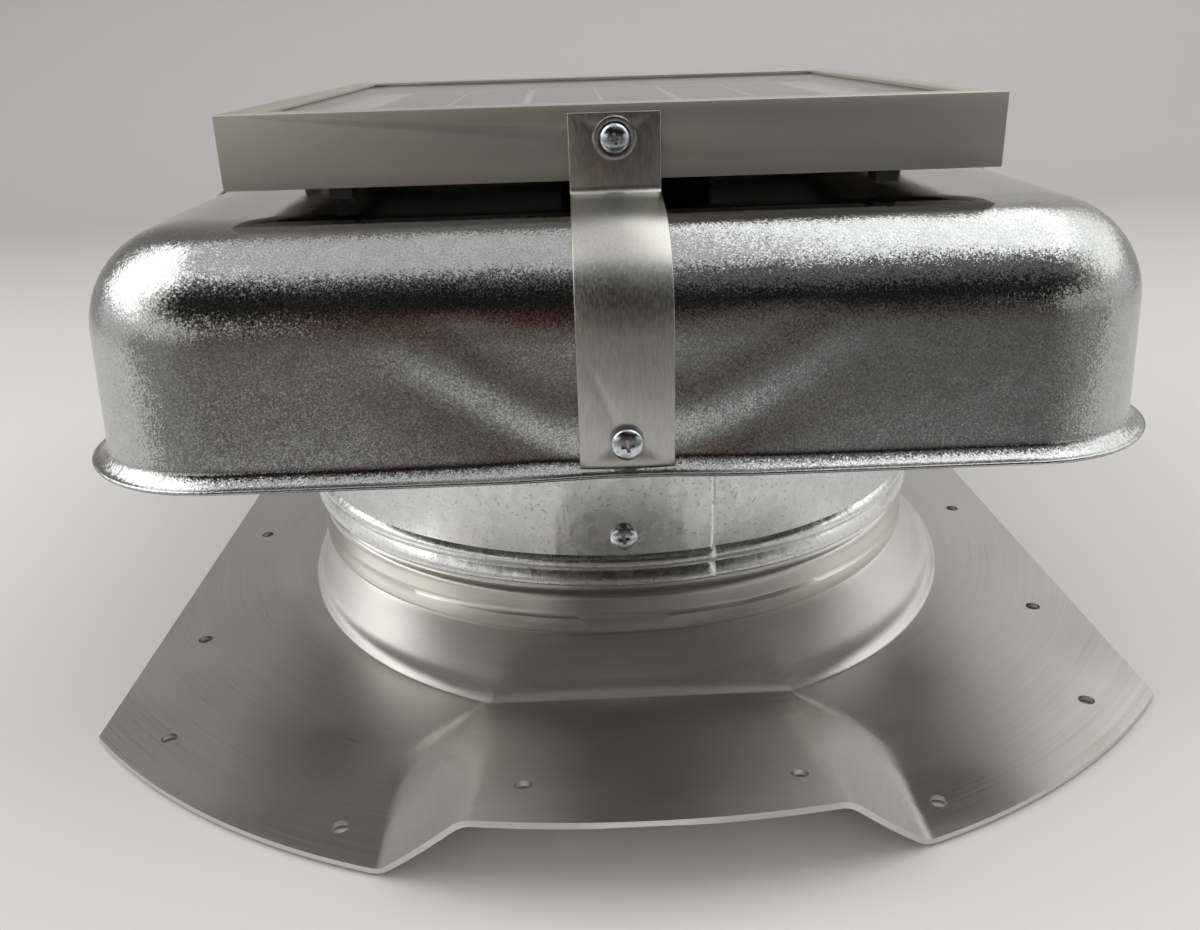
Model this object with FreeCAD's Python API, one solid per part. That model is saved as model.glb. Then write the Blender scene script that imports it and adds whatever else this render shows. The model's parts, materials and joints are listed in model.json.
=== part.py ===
"""Solar attic fan: spun roof flashing, round neck, square hood, strapped-on solar panel
and an axial fan on a small DC motor inside the throat.

Units are millimetres.  The origin is on the fan axis, at the underside of the flashing.
+Z points up out of the roof, -Y towards the raised front apron, +X to the right.
"""
import FreeCAD, Part
import math
import os

Vec = FreeCAD.Vector
UP = Vec(0, 0, 1)
ORIGIN = Vec(0, 0, 0)

# ---------------------------------------------------------------- driving dimensions
# roof flashing: a spun disc with two straight sides
FLASH_R = 214.5           # radius of the round front and back edges
FLASH_HALF_W = 161.0      # half the width between the straight sides
FLASH_T = 1.6             # sheet thickness
FOOT_OUT = 15.7           # foot of the cone, outwards from the collar
CONE_TOP_OUT = 0.9        # top of the cone, outwards from the collar
CONE_TOP_Z = 15.0
RING_OUT = 1.8            # how far the lower ring stands out from the collar
RING_STEP = 0.8           # the upper ring is this much smaller
COLLAR_TOP_Z = 75.0       # top of the spun collar, inside the neck
APRON_RISE = 18.0         # height of the raised front apron at its edge
APRON_X = 4.0             # the apron sits a little off centre
APRON_TOP_HALF_W = 46.8
APRON_FOOT_HALF_W = 69.0
APRON_FOLD_OUT = 2.0      # the apron starts to rise this far beyond the cone's foot
APRON_PAST_EDGE = 6.0     # the apron is drawn this far past the round edge, then trimmed
NAIL_R = 2.4              # nail and screw holes
SIDE_HOLE_IN = 15.0       # side holes, in from the straight side
SIDE_HOLE_PITCH = 86.0
CORNER_HOLE_SIDE_IN = 22.0    # corner holes, in from the straight side
CORNER_HOLE_EDGE_IN = 14.36   # and in from the round edge
EDGE_HOLE_X = 79.6        # holes along the round edge
EDGE_HOLE_EDGE_IN = 11.26
APRON_HOLE_X = 35.6       # half the distance between the apron's two holes
APRON_HOLE_EDGE_IN = 22.5
APRON_HOLE_SHIFT = 2.0    # the two holes are drilled this far off the apron's centre

# neck: galvanised sheet tube that slips over the collar
NECK_R = 116.3            # outside radius
NECK_T = 0.7
NECK_BOTTOM_Z = 33.0
NECK_TOP_Z = 108.0
NECK_LIP = 2.0            # lower lip and bead stand out this far
SCREW_Z = 49.6            # ring of four screws through neck, collar and motor bracket

# hood: drawn square pan with a turned-out flange
HOOD_HALF_W = 150.6
HOOD_T = 0.8
HOOD_DEPTH = 65.5
HOOD_TOP_Z = 150.0
HOOD_CORNER_R = 40.0
HOOD_SHOULDER_R = 28.0
FLANGE_W = 5.1
FLANGE_RISE = 0.6         # the flange plate sits this far above the flange's lowest roll

# solar panel
PANEL_HALF_W = 108.5
PANEL_HALF_D = 111.0
PANEL_LIFT = 6.8          # underside of the panel above the hood's roof
PANEL_H = 20.2
RAIL_T = 1.5
RAIL_LIP_W = 10.0
RAIL_LIP_T = 1.2
RAIL_SHELF_W = 8.0
LAMINATE_GAP = 0.5        # play between laminate edge and rail wall
GLASS_T = 3.2
BACKSHEET_T = 0.4
CELL_T = 0.2
RIBBON_T = 0.15
CELL_COLUMNS = 3
CELL_ROWS = 12
CELL_MARGIN_X = 27.5      # cell field, in from the panel's outer faces
CELL_MARGIN_Y = 17.0
CELL_GAP_X = 3.0
CELL_GAP_Y = 1.6
RIBBON_W = 1.4

# straps that tie the panel to the hood, one on each side
STRAP_W = 25.4
STRAP_T = 1.0
STRAP_TOP_BELOW = 2.2     # strap end below the panel's top face
STRAP_BEND_BELOW = 4.0    # bend line below the panel's underside
STRAP_BEND_R = 3.0
STRAP_END_ABOVE = 2.2     # strap end above the hood's lowest edge
STRAP_SCREW_BELOW = 9.0   # upper screw below the panel's top face
STRAP_LOW_SCREW_ABOVE = 9.1
STRAP_PLAY = 0.05         # between strap and hood
CUP_R = 6.2               # cup washer under the upper screw
CUP_H = 1.5
CUP_SEAT = 0.7            # the screw's head sits this deep in the washer

# fan and motor
BLADE_COUNT = 5
BLADE_TIP_GAP = 9.7       # between blade tips and throat
BLADE_T = 1.2
BLADE_Z = 78.0            # underside of the blade roots
HUB_R = 10.0
HUB_FLANGE_R = 31.0
HUB_FLANGE_T = 2.0
SHAFT_R = 4.0
RUN_GAP = 0.05            # radial running clearance of the shaft
MOTOR_R = 33.0
MOTOR_T = 1.6
MOTOR_BOTTOM_Z = 8.0
MOUNT_SCREW_IN = 11.0     # motor screws, in from the motor's outside
SPIDER_Z = 60.0           # underside of the motor bracket
SPIDER_T = 2.0
SPIDER_W = 20.0
MAGNET_T = 4.0
CORE_GAP = 1.8            # air gap between magnets and armature
CORE_SLOTS = 12

# insulated lead from the junction box to the motor
LEAD_R = 1.6
LEAD_X = 14.0
LEAD_INSET = 17.6         # the lead drops through the roof this far in from the throat's wall
BOX_INSET = 42.0          # middle of the junction box, in from where the lead drops
CLIP_INSET = 47.6         # the arm's clip, in from the throat's wall
CLIP_WALL = 1.2
CLIP_HALF = 3.0

# general fits
FIT = 0.1                 # radial clearance of a screw or rivet in its hole
SHEET_GAP = 0.3           # play between sheets that slip over each other
RIVET_TAIL = 2.5          # length of a blind rivet's upset tail
CUT = 1.0                 # how far a cutting tool runs past a face
SCREW_R = 2.4             # sheet-metal screws of the neck and the hood
PANEL_SCREW_R = 2.1       # screws from strap to panel
MOUNT_SCREW_R = 2.0       # screws from bracket to motor
BOX_SCREW_R = 1.3         # lid screws of the junction box
RIVET_R = 1.6
NUT_ACROSS_R = 4.6        # nut, from its axis to a corner
NUT_H = 3.0


# ---------------------------------------------------------------- helpers
def export(node, solids):
    """Write one node; several solids go out together as a compound."""
    solids = solids if isinstance(solids, list) else [solids]
    shape = solids[0] if len(solids) == 1 else Part.makeCompound(solids)
    shape.exportStep(f"parts/{node}.step")
    print(f"{node:24s} {len(solids):3d} solid(s) {sum(s.Volume for s in solids):12.1f} mm3")


def cylinder(radius, z_low, z_high, x=0.0, y=0.0):
    return Part.makeCylinder(radius, z_high - z_low, Vec(x, y, z_low))


def rod(radius, start, end):
    """Cylinder from one point to another."""
    return Part.makeCylinder(radius, (end - start).Length, start, end - start)


def block(low, high):
    """Box between two corners given as (x, y, z)."""
    size = [high[i] - low[i] for i in range(3)]
    return Part.makeBox(*size, Vec(*low))


def turned(profile):
    """Solid of revolution about Z.  The profile lists (r, z) corners; an entry with four
    numbers (r_mid, z_mid, r, z) is an arc through its first point to its second."""
    edges = []
    here = Vec(profile[0][0], 0, profile[0][1])
    start = here
    for entry in profile[1:] + [profile[0]]:
        end = Vec(entry[-2], 0, entry[-1])
        if (end - here).Length < 1e-6:
            continue
        if len(entry) == 4:
            middle = Vec(entry[0], 0, entry[1])
            edges.append(Part.Arc(here, middle, end).toShape())
        else:
            edges.append(Part.LineSegment(here, end).toShape())
        here = end
    assert (here - start).Length < 1e-6
    face = Part.Face(Part.Wire(edges))
    solid = face.revolve(ORIGIN, UP, 360)
    return solid if solid.Volume > 0 else solid.reversed()


def around(solid, count, first=0.0):
    """Copies of a solid, evenly spaced about Z."""
    copies = []
    for i in range(count):
        turned_copy = solid.copy()
        turned_copy.rotate(ORIGIN, UP, first + 360.0 * i / count)
        copies.append(turned_copy)
    return copies


def rounded_square(half_x, half_y, radius, z_low, z_high):
    """Upright prism with rounded corners."""
    solid = block((-half_x, -half_y, z_low), (half_x, half_y, z_high))
    uprights = [e for e in solid.Edges if abs(e.Vertexes[0].Z - e.Vertexes[-1].Z) > 1e-6]
    return solid.makeFillet(radius, uprights)


def bent_strip(points, radii, thickness, width):
    """Sheet strip bent along a polyline in the XZ plane and centred on y = 0.
    points are (x, z) on the middle of the sheet; radii are the bends' middle radii."""
    pts = [Vec(x, 0, z) for x, z in points]
    sides = ([], [])
    for i, p in enumerate(pts):
        before = (p - pts[i - 1]).normalize() if i > 0 else None
        after = (pts[i + 1] - p).normalize() if i < len(pts) - 1 else None
        if before is None or after is None:
            along = after or before
            out = Vec(-along.z, 0, along.x) * (thickness / 2)
            sides[0].append([p + out])
            sides[1].append([p - out])
            continue
        turn = before.getAngle(after)
        setback = radii[i - 1] * math.tan(turn / 2)
        inward = (after - before).normalize()
        centre = p + inward * (radii[i - 1] / math.cos(turn / 2))
        for side, sign in zip(sides, (1, -1)):
            out_a = Vec(-before.z, 0, before.x) * (sign * thickness / 2)
            out_b = Vec(-after.z, 0, after.x) * (sign * thickness / 2)
            a = p - before * setback + out_a
            b = p + after * setback + out_b
            middle = centre - inward * ((a - centre).Length)
            side.append([a, middle, b])
    outline = []
    last = None
    for stop in sides[0] + [list(reversed(s)) for s in reversed(sides[1])]:
        if last is not None:
            outline.append(Part.LineSegment(last, stop[0]).toShape())
        if len(stop) == 3:
            outline.append(Part.Arc(*stop).toShape())
        last = stop[-1]
    outline.append(Part.LineSegment(last, sides[0][0][0]).toShape())
    face = Part.Face(Part.Wire(outline))
    strip = face.extrude(Vec(0, width, 0))
    strip.translate(Vec(0, -width / 2, 0))
    return strip if strip.Volume > 0 else strip.reversed()


def round_tube(points, radius):
    """Tube along straight runs joined by the largest even tangent arcs."""
    pts = [Vec(*p) for p in points]
    edges = []
    here = pts[0]
    length = 0.0
    for i in range(1, len(pts) - 1):
        before = pts[i] - pts[i - 1]
        after = pts[i + 1] - pts[i]
        turn = before.getAngle(after)
        setback = 0.45 * min(before.Length, after.Length)
        bend_r = setback / math.tan(turn / 2)
        print(f"    lead bend {i}: radius {bend_r:.1f} mm, turn {math.degrees(turn):.0f} deg")
        a = pts[i] - before.normalize() * setback
        b = pts[i] + after.normalize() * setback
        inward = (after - before).normalize()
        centre = pts[i] + inward * (bend_r / math.cos(turn / 2))
        middle = centre - inward * bend_r
        edges.append(Part.LineSegment(here, a).toShape())
        edges.append(Part.Arc(a, middle, b).toShape())
        length += (a - here).Length + bend_r * turn
        here = b
    edges.append(Part.LineSegment(here, pts[-1]).toShape())
    length += (pts[-1] - here).Length
    path = Part.Wire(edges)
    ring = Part.Wire(Part.makeCircle(radius, pts[0], pts[1] - pts[0]))
    tube = path.makePipeShell([ring], True, False)
    print(f"    lead length {length:.1f} mm, volume ratio "
          f"{tube.Volume / (math.pi * radius ** 2 * length):.4f}")
    return tube


def pan_screw(head_r, head_h, shank_r, length):
    """Pan-head screw along Z: head above z = 0, shank below, with a crossed recess."""
    edge_h = head_h * 0.45
    tip = min(shank_r * 0.9, length / 3)
    screw = turned([(0, -length), (shank_r * 0.45, -length), (shank_r, tip - length),
                    (shank_r, 0), (head_r, 0), (head_r, edge_h),
                    (head_r * 0.85, head_h * 0.82, head_r * 0.4, head_h), (0, head_h)])
    arm = head_r * 0.52
    slot = head_r * 0.13
    deep = head_h * 0.45
    for quarter in (0, 90):
        cut = block((-arm, -slot, deep), (arm, slot, head_h + 1))
        cut.rotate(ORIGIN, UP, quarter)
        screw = screw.cut(cut)
    return screw


def rivet(head_r, head_h, shank_r, grip):
    """Blind rivet along Z: dome above z = 0, shank through the grip, tail below."""
    tail_r = shank_r * 1.35
    tail_z = -grip - RIVET_TAIL
    return turned([(0, tail_z), (tail_r, tail_z), (tail_r, -grip), (shank_r, -grip), (shank_r, 0),
                   (head_r, 0), (head_r * 0.8, head_h * 0.75, head_r * 0.25, head_h),
                   (0, head_h)])


def hex_nut(across_r, bore_r, height):
    """Hexagonal nut with its upper face at z = 0."""
    ring = [Vec(across_r * math.cos(math.radians(60 * i)),
                across_r * math.sin(math.radians(60 * i)), -height) for i in range(7)]
    nut = Part.Face(Part.makePolygon(ring)).extrude(Vec(0, 0, height))
    return nut.cut(cylinder(bore_r, -height - 1, 1))


def facing(solid, place, angle_deg):
    """Turn a part made along +Z so that it points out along +X, move it to
    place = (x, z), then swing it about the fan axis."""
    piece = solid.copy()
    piece.rotate(ORIGIN, Vec(0, 1, 0), 90)
    piece.translate(Vec(place[0], 0, place[1]))
    piece.rotate(ORIGIN, UP, angle_deg)
    return piece


# ---------------------------------------------------------------- roof flashing
COLLAR_R = NECK_R - NECK_T - SHEET_GAP          # outside of the spun collar
THROAT_R = COLLAR_R - FLASH_T                   # clear bore of the throat
CONE_TOP_R = COLLAR_R + CONE_TOP_OUT
FOOT_R = COLLAR_R + FOOT_OUT
APRON_FOLD_Y = FOOT_R + APRON_FOLD_OUT
RING_Z = CONE_TOP_Z + 1.2                       # lower edge of the lower ring
SIDES = {"front": -90.0, "right": 0.0, "back": 90.0, "left": 180.0}


def apron_wedge(drop):
    """The raised apron as a solid wedge above the sheet, lowered by drop."""
    edge_y = FLASH_R + APRON_PAST_EDGE
    rise = APRON_RISE * (edge_y - APRON_FOLD_Y) / (FLASH_R - APRON_FOLD_Y)
    foot = APRON_TOP_HALF_W + (APRON_FOOT_HALF_W - APRON_TOP_HALF_W) * rise / APRON_RISE
    z = FLASH_T - drop
    left, right = APRON_X - APRON_TOP_HALF_W, APRON_X + APRON_TOP_HALF_W
    fold = [Vec(left, -APRON_FOLD_Y, z), Vec(right, -APRON_FOLD_Y, z)]
    top = [Vec(left, -edge_y, z + rise), Vec(right, -edge_y, z + rise)]
    base = [Vec(APRON_X - foot, -edge_y, z), Vec(APRON_X + foot, -edge_y, z)]
    outlines = [
        [fold[0], fold[1], top[1], top[0]],
        [fold[0], base[0], base[1], fold[1]],
        [base[0], top[0], top[1], base[1]],
        [fold[0], top[0], base[0]],
        [fold[1], base[1], top[1]],
    ]
    faces = [Part.Face(Part.makePolygon(o + [o[0]])) for o in outlines]
    wedge = Part.Solid(Part.Shell(faces))
    return wedge if wedge.Volume > 0 else wedge.reversed()


def hole_places():
    """Centres of the nail and screw holes through the flat and the apron."""
    side_x = FLASH_HALF_W - SIDE_HOLE_IN
    places = [(sx * side_x, sy * SIDE_HOLE_PITCH) for sx in (-1, 1) for sy in (-1, 0, 1)]
    corner_x = FLASH_HALF_W - CORNER_HOLE_SIDE_IN
    corner_y = math.sqrt((FLASH_R - CORNER_HOLE_EDGE_IN) ** 2 - corner_x ** 2)
    edge_y = math.sqrt((FLASH_R - EDGE_HOLE_EDGE_IN) ** 2 - EDGE_HOLE_X ** 2)
    for hx, hy in ((corner_x, corner_y), (EDGE_HOLE_X, edge_y)):
        places += [(sx * hx, sy * hy) for sx in (-1, 1) for sy in (-1, 1)]
    centre = APRON_X + APRON_HOLE_SHIFT
    places += [(centre + sx * APRON_HOLE_X, APRON_HOLE_EDGE_IN - FLASH_R) for sx in (-1, 1)]
    return places


def roof_flashing():
    ring_r = COLLAR_R + RING_OUT
    ring2_r = ring_r - RING_STEP
    ring_z = RING_Z
    mid_r = CONE_TOP_R + (FOOT_R - CONE_TOP_R) * 0.38
    mid_z = FLASH_T + (CONE_TOP_Z - FLASH_T) * 0.40
    outer = turned([(0, 0), (FOOT_R, 0), (FOOT_R, FLASH_T),
                    (mid_r, mid_z, CONE_TOP_R, CONE_TOP_Z),
                    (ring_r, ring_z), (ring_r, ring_z + 4.6), (ring2_r, ring_z + 5.6),
                    (ring2_r, ring_z + 10.4), (COLLAR_R, ring_z + 12.4),
                    (COLLAR_R, COLLAR_TOP_Z), (0, COLLAR_TOP_Z)])
    t = FLASH_T
    inner = turned([(0, -1), (FOOT_R - t, -1), (FOOT_R - t, 0),
                    (mid_r - t * 0.8, mid_z - t * 0.8, CONE_TOP_R - t, CONE_TOP_Z - t * 0.3),
                    (ring_r - t, ring_z + 0.8), (ring_r - t, ring_z + 4.0),
                    (ring2_r - t, ring_z + 5.0), (ring2_r - t, ring_z + 9.8),
                    (THROAT_R, ring_z + 11.8),
                    (THROAT_R, COLLAR_TOP_Z + 1), (0, COLLAR_TOP_Z + 1)])
    disc = cylinder(FLASH_R, 0, FLASH_T).fuse(apron_wedge(0)).cut(apron_wedge(FLASH_T))
    sheet = disc.fuse(outer).cut(inner)
    outline = cylinder(FLASH_R, -1, COLLAR_TOP_Z + 1).common(
        block((-FLASH_HALF_W, -FLASH_R - 1, -1), (FLASH_HALF_W, FLASH_R + 1, COLLAR_TOP_Z + 1)))
    sheet = sheet.common(outline)
    for x, y in hole_places():
        sheet = sheet.cut(cylinder(NAIL_R, -CUT, FLASH_T + APRON_RISE + 5 * CUT, x, y))
    hole = cylinder(SCREW_R + FIT, THROAT_R - 5, COLLAR_R + 5)
    for angle in SIDES.values():
        sheet = sheet.cut(facing(hole, (0, SCREW_Z), angle))
    export("roof_flashing", sheet.removeSplitter())


# ---------------------------------------------------------------- neck
LEG_ANGLES = [45.0, 135.0, 225.0, 315.0]
LEG_RIVET_Z = (NECK_TOP_Z - 14.0, NECK_TOP_Z - 6.0)
BEAD_TOP = 10.2           # top of the half-round bead above the lip's edge
BEAD_MID = 7.5
BEAD_FOOT = 4.8


def neck_collar():
    """Tube with a flared lower lip and a half-round bead above it."""
    z0 = NECK_BOTTOM_Z

    def face(r):
        return [(r + NECK_LIP, z0), (r + NECK_LIP * 0.8, z0 + 3.0), (r, z0 + BEAD_FOOT),
                (r + NECK_LIP * 0.9, z0 + BEAD_MID, r, z0 + BEAD_TOP), (r, NECK_TOP_Z)]

    out = face(NECK_R)
    inner_r = NECK_R - NECK_T
    back = [(inner_r, NECK_TOP_Z), (inner_r, z0 + BEAD_TOP),
            (inner_r + NECK_LIP * 0.9, z0 + BEAD_MID, inner_r, z0 + BEAD_FOOT),
            (inner_r + NECK_LIP * 0.8, z0 + 3.0), (inner_r + NECK_LIP, z0)]
    tube = turned(out + back)
    screw_hole = cylinder(SCREW_R + FIT, NECK_R - 5, NECK_R + 5)
    for angle in SIDES.values():
        tube = tube.cut(facing(screw_hole, (0, SCREW_Z), angle))
    rivet_hole = cylinder(RIVET_R + FIT, NECK_R - 5, NECK_R + 5)
    for angle in LEG_ANGLES:
        for z in LEG_RIVET_Z:
            tube = tube.cut(facing(rivet_hole, (0, z), angle))
    export("neck_collar", tube)


# ---------------------------------------------------------------- hood and what carries it
HOOD_BOTTOM_Z = HOOD_TOP_Z - HOOD_DEPTH
HOOD_IN_TOP_Z = HOOD_TOP_Z - HOOD_T
LEG_T = 1.5
LEG_W = 22.0
LEG_TAB = 14.0                   # tab spot-welded under the hood's roof
LEG_FOOT = 6.0                   # leg below its lower rivet
LEG_BEND_R = 2.5
SCREEN_IN = 0.2                  # the screen's band stands this far inside the neck's face
SCREEN_T = 0.8
SCREEN_ROWS = 4
SCREEN_SLOTS = 72
SCREEN_MARGIN = 4.0
SCREEN_SLOT_W = 6.4
SCREEN_BAR = 1.6
LEAD_WALL_Y = math.sqrt((THROAT_R - 2 * LEAD_R) ** 2 - LEAD_X ** 2)
GROMMET_Y = LEAD_WALL_Y - LEAD_INSET
GROMMET_R = 5.0
GROMMET_LIP = 2.0
STRAP_LOW_SCREW_Z = HOOD_BOTTOM_Z + STRAP_LOW_SCREW_ABOVE


def hood():
    def pan(grow, bottom, top):
        body = rounded_square(HOOD_HALF_W + grow, HOOD_HALF_W + grow, HOOD_CORNER_R + grow,
                              bottom, top)
        rim = [e for e in body.Edges if min(v.Z for v in e.Vertexes) > top - 1e-6]
        return body.makeFillet(HOOD_SHOULDER_R + grow, rim)

    outer = pan(0, HOOD_BOTTOM_Z, HOOD_TOP_Z)
    flange_z = HOOD_BOTTOM_Z + FLANGE_RISE
    flange = rounded_square(HOOD_HALF_W + FLANGE_W, HOOD_HALF_W + FLANGE_W,
                            HOOD_CORNER_R + FLANGE_W, flange_z, flange_z + HOOD_T)
    shell = outer.fuse(flange).cut(pan(-HOOD_T, HOOD_BOTTOM_Z - 5, HOOD_IN_TOP_Z))
    screw_hole = cylinder(SCREW_R + FIT, HOOD_HALF_W - 5, HOOD_HALF_W + 5)
    for angle in SIDES.values():
        shell = shell.cut(facing(screw_hole, (0, STRAP_LOW_SCREW_Z), angle))
    shell = shell.cut(cylinder(GROMMET_R, HOOD_IN_TOP_Z - CUT, HOOD_TOP_Z + CUT,
                               LEAD_X, GROMMET_Y))
    export("hood", shell)


def hood_legs():
    """Four bent feet, riveted to the neck and spot-welded to the underside of the hood."""
    middle = NECK_R + LEG_T / 2
    leg = bent_strip([(middle, LEG_RIVET_Z[0] - LEG_FOOT), (middle, HOOD_IN_TOP_Z - LEG_T / 2),
                      (NECK_R + LEG_TAB, HOOD_IN_TOP_Z - LEG_T / 2)],
                     [LEG_BEND_R], LEG_T, LEG_W)
    for z in LEG_RIVET_Z:
        leg = leg.cut(facing(cylinder(RIVET_R + FIT, NECK_R - 2, NECK_R + 5), (0, z), 0))
    export("hood_legs", around(leg, 4, LEG_ANGLES[0]))

    side = rivet(2 * RIVET_R, 1.3, RIVET_R, LEG_T + NECK_T)
    export("leg_neck_rivets", [facing(side, (NECK_R + LEG_T, z), a)
                               for a in LEG_ANGLES for z in LEG_RIVET_Z])


def insect_screen():
    """Perforated band that closes the outlet between the neck and the hood's roof."""
    out_r = NECK_R - SCREEN_IN
    in_r = out_r - SCREEN_T
    band = turned([(in_r, NECK_TOP_Z), (out_r, NECK_TOP_Z),
                   (out_r, HOOD_IN_TOP_Z), (in_r, HOOD_IN_TOP_Z)])
    pitch_z = (HOOD_IN_TOP_Z - NECK_TOP_Z - 2 * SCREEN_MARGIN) / SCREEN_ROWS
    slots = []
    for row in range(SCREEN_ROWS):
        z = NECK_TOP_Z + SCREEN_MARGIN + row * pitch_z
        slot = block((out_r - 3, -SCREEN_SLOT_W / 2, z + SCREEN_BAR / 2),
                     (out_r + 2, SCREEN_SLOT_W / 2, z + pitch_z - SCREEN_BAR / 2))
        slots += around(slot, SCREEN_SLOTS, 180.0 / SCREEN_SLOTS * (row % 2))
    export("insect_screen", band.cut(Part.makeCompound(slots)))


def roof_grommet():
    """Rubber ring where the lead goes through the hood."""
    lip_r = GROMMET_R + GROMMET_LIP
    z0, z1 = HOOD_IN_TOP_Z, HOOD_TOP_Z
    ring = turned([(LEAD_R + FIT, z0 - 2), (lip_r - 0.8, z0 - 2), (lip_r, z0), (GROMMET_R, z0),
                   (GROMMET_R, z1), (lip_r, z1), (lip_r - 0.8, z1 + 2), (LEAD_R + FIT, z1 + 2)])
    ring.translate(Vec(LEAD_X, GROMMET_Y, 0))
    export("roof_grommet", ring)


# ---------------------------------------------------------------- solar panel
PANEL_BOTTOM_Z = HOOD_TOP_Z + PANEL_LIFT
PANEL_TOP_Z = PANEL_BOTTOM_Z + PANEL_H
CELL_W = (2 * (PANEL_HALF_W - CELL_MARGIN_X) - (CELL_COLUMNS - 1) * CELL_GAP_X) / CELL_COLUMNS
CELL_L = (2 * (PANEL_HALF_D - CELL_MARGIN_Y) - (CELL_ROWS - 1) * CELL_GAP_Y) / CELL_ROWS
LIP_Z = PANEL_TOP_Z - RAIL_LIP_T
GLASS_TOP_Z = LIP_Z - 0.1
GLASS_Z = GLASS_TOP_Z - GLASS_T
BACK_TOP_Z = GLASS_Z - CELL_T - RIBBON_T - 0.05
BACK_Z = BACK_TOP_Z - BACKSHEET_T
SHELF_T = 1.2
BOX_X = LEAD_X
BOX_HALF = (30.0, 22.0)
BOX_H = 15.0
BOX_Y = GROMMET_Y - BOX_INSET
BOX_WALL = 2.0
BOX_LID_T = 2.0
BOX_POST_R = 3.0
KEY_ARM = 20.0            # arm of a corner key
KEY_T = 2.0
KEY_PLAY = 1.0
BUMPER_X = 76.4           # rubber bumpers under the front and back rails
BUMPER_W = 6.1
BUMPER_H = 3.0
BUMPER_IN = 0.5
GLAND_Z = BACK_Z - BOX_H * 0.55


def frame_rail(half_length, half_across):
    """C-shaped rail on the +X side, mitred at both ends."""
    x = half_across
    corners = [(x, PANEL_BOTTOM_Z), (x, PANEL_TOP_Z), (x - RAIL_LIP_W, PANEL_TOP_Z),
               (x - RAIL_LIP_W, LIP_Z), (x - RAIL_T, LIP_Z), (x - RAIL_T, BACK_Z),
               (x - RAIL_SHELF_W, BACK_Z), (x - RAIL_SHELF_W, BACK_Z - SHELF_T),
               (x - RAIL_T, BACK_Z - SHELF_T), (x - RAIL_T, PANEL_BOTTOM_Z + RAIL_T),
               (x - RAIL_LIP_W, PANEL_BOTTOM_Z + RAIL_T), (x - RAIL_LIP_W, PANEL_BOTTOM_Z)]
    pts = [Vec(a, -half_length, z) for a, z in corners]
    rail = Part.Face(Part.makePolygon(pts + [pts[0]])).extrude(Vec(0, 2 * half_length, 0))
    z0, z1 = PANEL_BOTTOM_Z - 1, PANEL_TOP_Z + 1
    inside = half_across - 2 * RAIL_LIP_W
    mitre = [Vec(x, half_length, z0), Vec(x + 1, half_length + 1, z0),
             Vec(inside, half_length + 1, z0),
             Vec(inside, half_length - 2 * RAIL_LIP_W, z0)]
    wedge = Part.Face(Part.makePolygon(mitre + [mitre[0]])).extrude(Vec(0, 0, z1 - z0))
    rail = rail.cut(wedge).cut(wedge.mirror(ORIGIN, Vec(0, 1, 0)))
    hole = facing(cylinder(PANEL_SCREW_R + FIT, x - 4, x + 4),
                  (0, PANEL_TOP_Z - STRAP_SCREW_BELOW), 0)
    return rail.cut(hole)


def solar_panel():
    spans = {"right": (PANEL_HALF_D, PANEL_HALF_W), "left": (PANEL_HALF_D, PANEL_HALF_W),
             "front": (PANEL_HALF_W, PANEL_HALF_D), "back": (PANEL_HALF_W, PANEL_HALF_D)}
    for side, (half_length, half_across) in spans.items():
        rail = frame_rail(half_length, half_across)
        rail.rotate(ORIGIN, UP, SIDES[side])
        export(f"frame_rail_{side}", rail)

    lam_x = PANEL_HALF_W - RAIL_T - LAMINATE_GAP
    lam_y = PANEL_HALF_D - RAIL_T - LAMINATE_GAP
    export("panel_glass", block((-lam_x, -lam_y, GLASS_Z), (lam_x, lam_y, GLASS_TOP_Z)))
    export("panel_backsheet", block((-lam_x, -lam_y, BACK_Z), (lam_x, lam_y, BACK_TOP_Z)))

    cells = []
    ribbons = []
    pitch_x = CELL_W + CELL_GAP_X
    pitch_y = CELL_L + CELL_GAP_Y
    for column in range(CELL_COLUMNS):
        x = (column - (CELL_COLUMNS - 1) / 2) * pitch_x
        for row in range(CELL_ROWS):
            y = (row - (CELL_ROWS - 1) / 2) * pitch_y
            cells.append(block((x - CELL_W / 2, y - CELL_L / 2, BACK_TOP_Z),
                               (x + CELL_W / 2, y + CELL_L / 2, BACK_TOP_Z + CELL_T)))
        run = CELL_ROWS * pitch_y / 2
        ribbons.append(block((x - RIBBON_W / 2, -run, BACK_TOP_Z + CELL_T),
                             (x + RIBBON_W / 2, run, BACK_TOP_Z + CELL_T + RIBBON_T)))
    export("solar_cells", cells)
    export("cell_ribbons", ribbons)

    key_z = (PANEL_BOTTOM_Z + RAIL_T + KEY_PLAY, BACK_Z - SHELF_T - KEY_PLAY)
    keys = []
    for sx in (-1, 1):
        for sy in (-1, 1):
            x, y = PANEL_HALF_W - RAIL_T, PANEL_HALF_D - RAIL_T
            key = block((x - KEY_ARM, y - KEY_T, key_z[0]), (x, y, key_z[1])).fuse(
                block((x - KEY_T, y - KEY_ARM, key_z[0]), (x, y, key_z[1]))).removeSplitter()
            if sx < 0:
                key = key.mirror(ORIGIN, Vec(1, 0, 0))
            if sy < 0:
                key = key.mirror(ORIGIN, Vec(0, 1, 0))
            keys.append(key)
    export("frame_corner_keys", keys)


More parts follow.
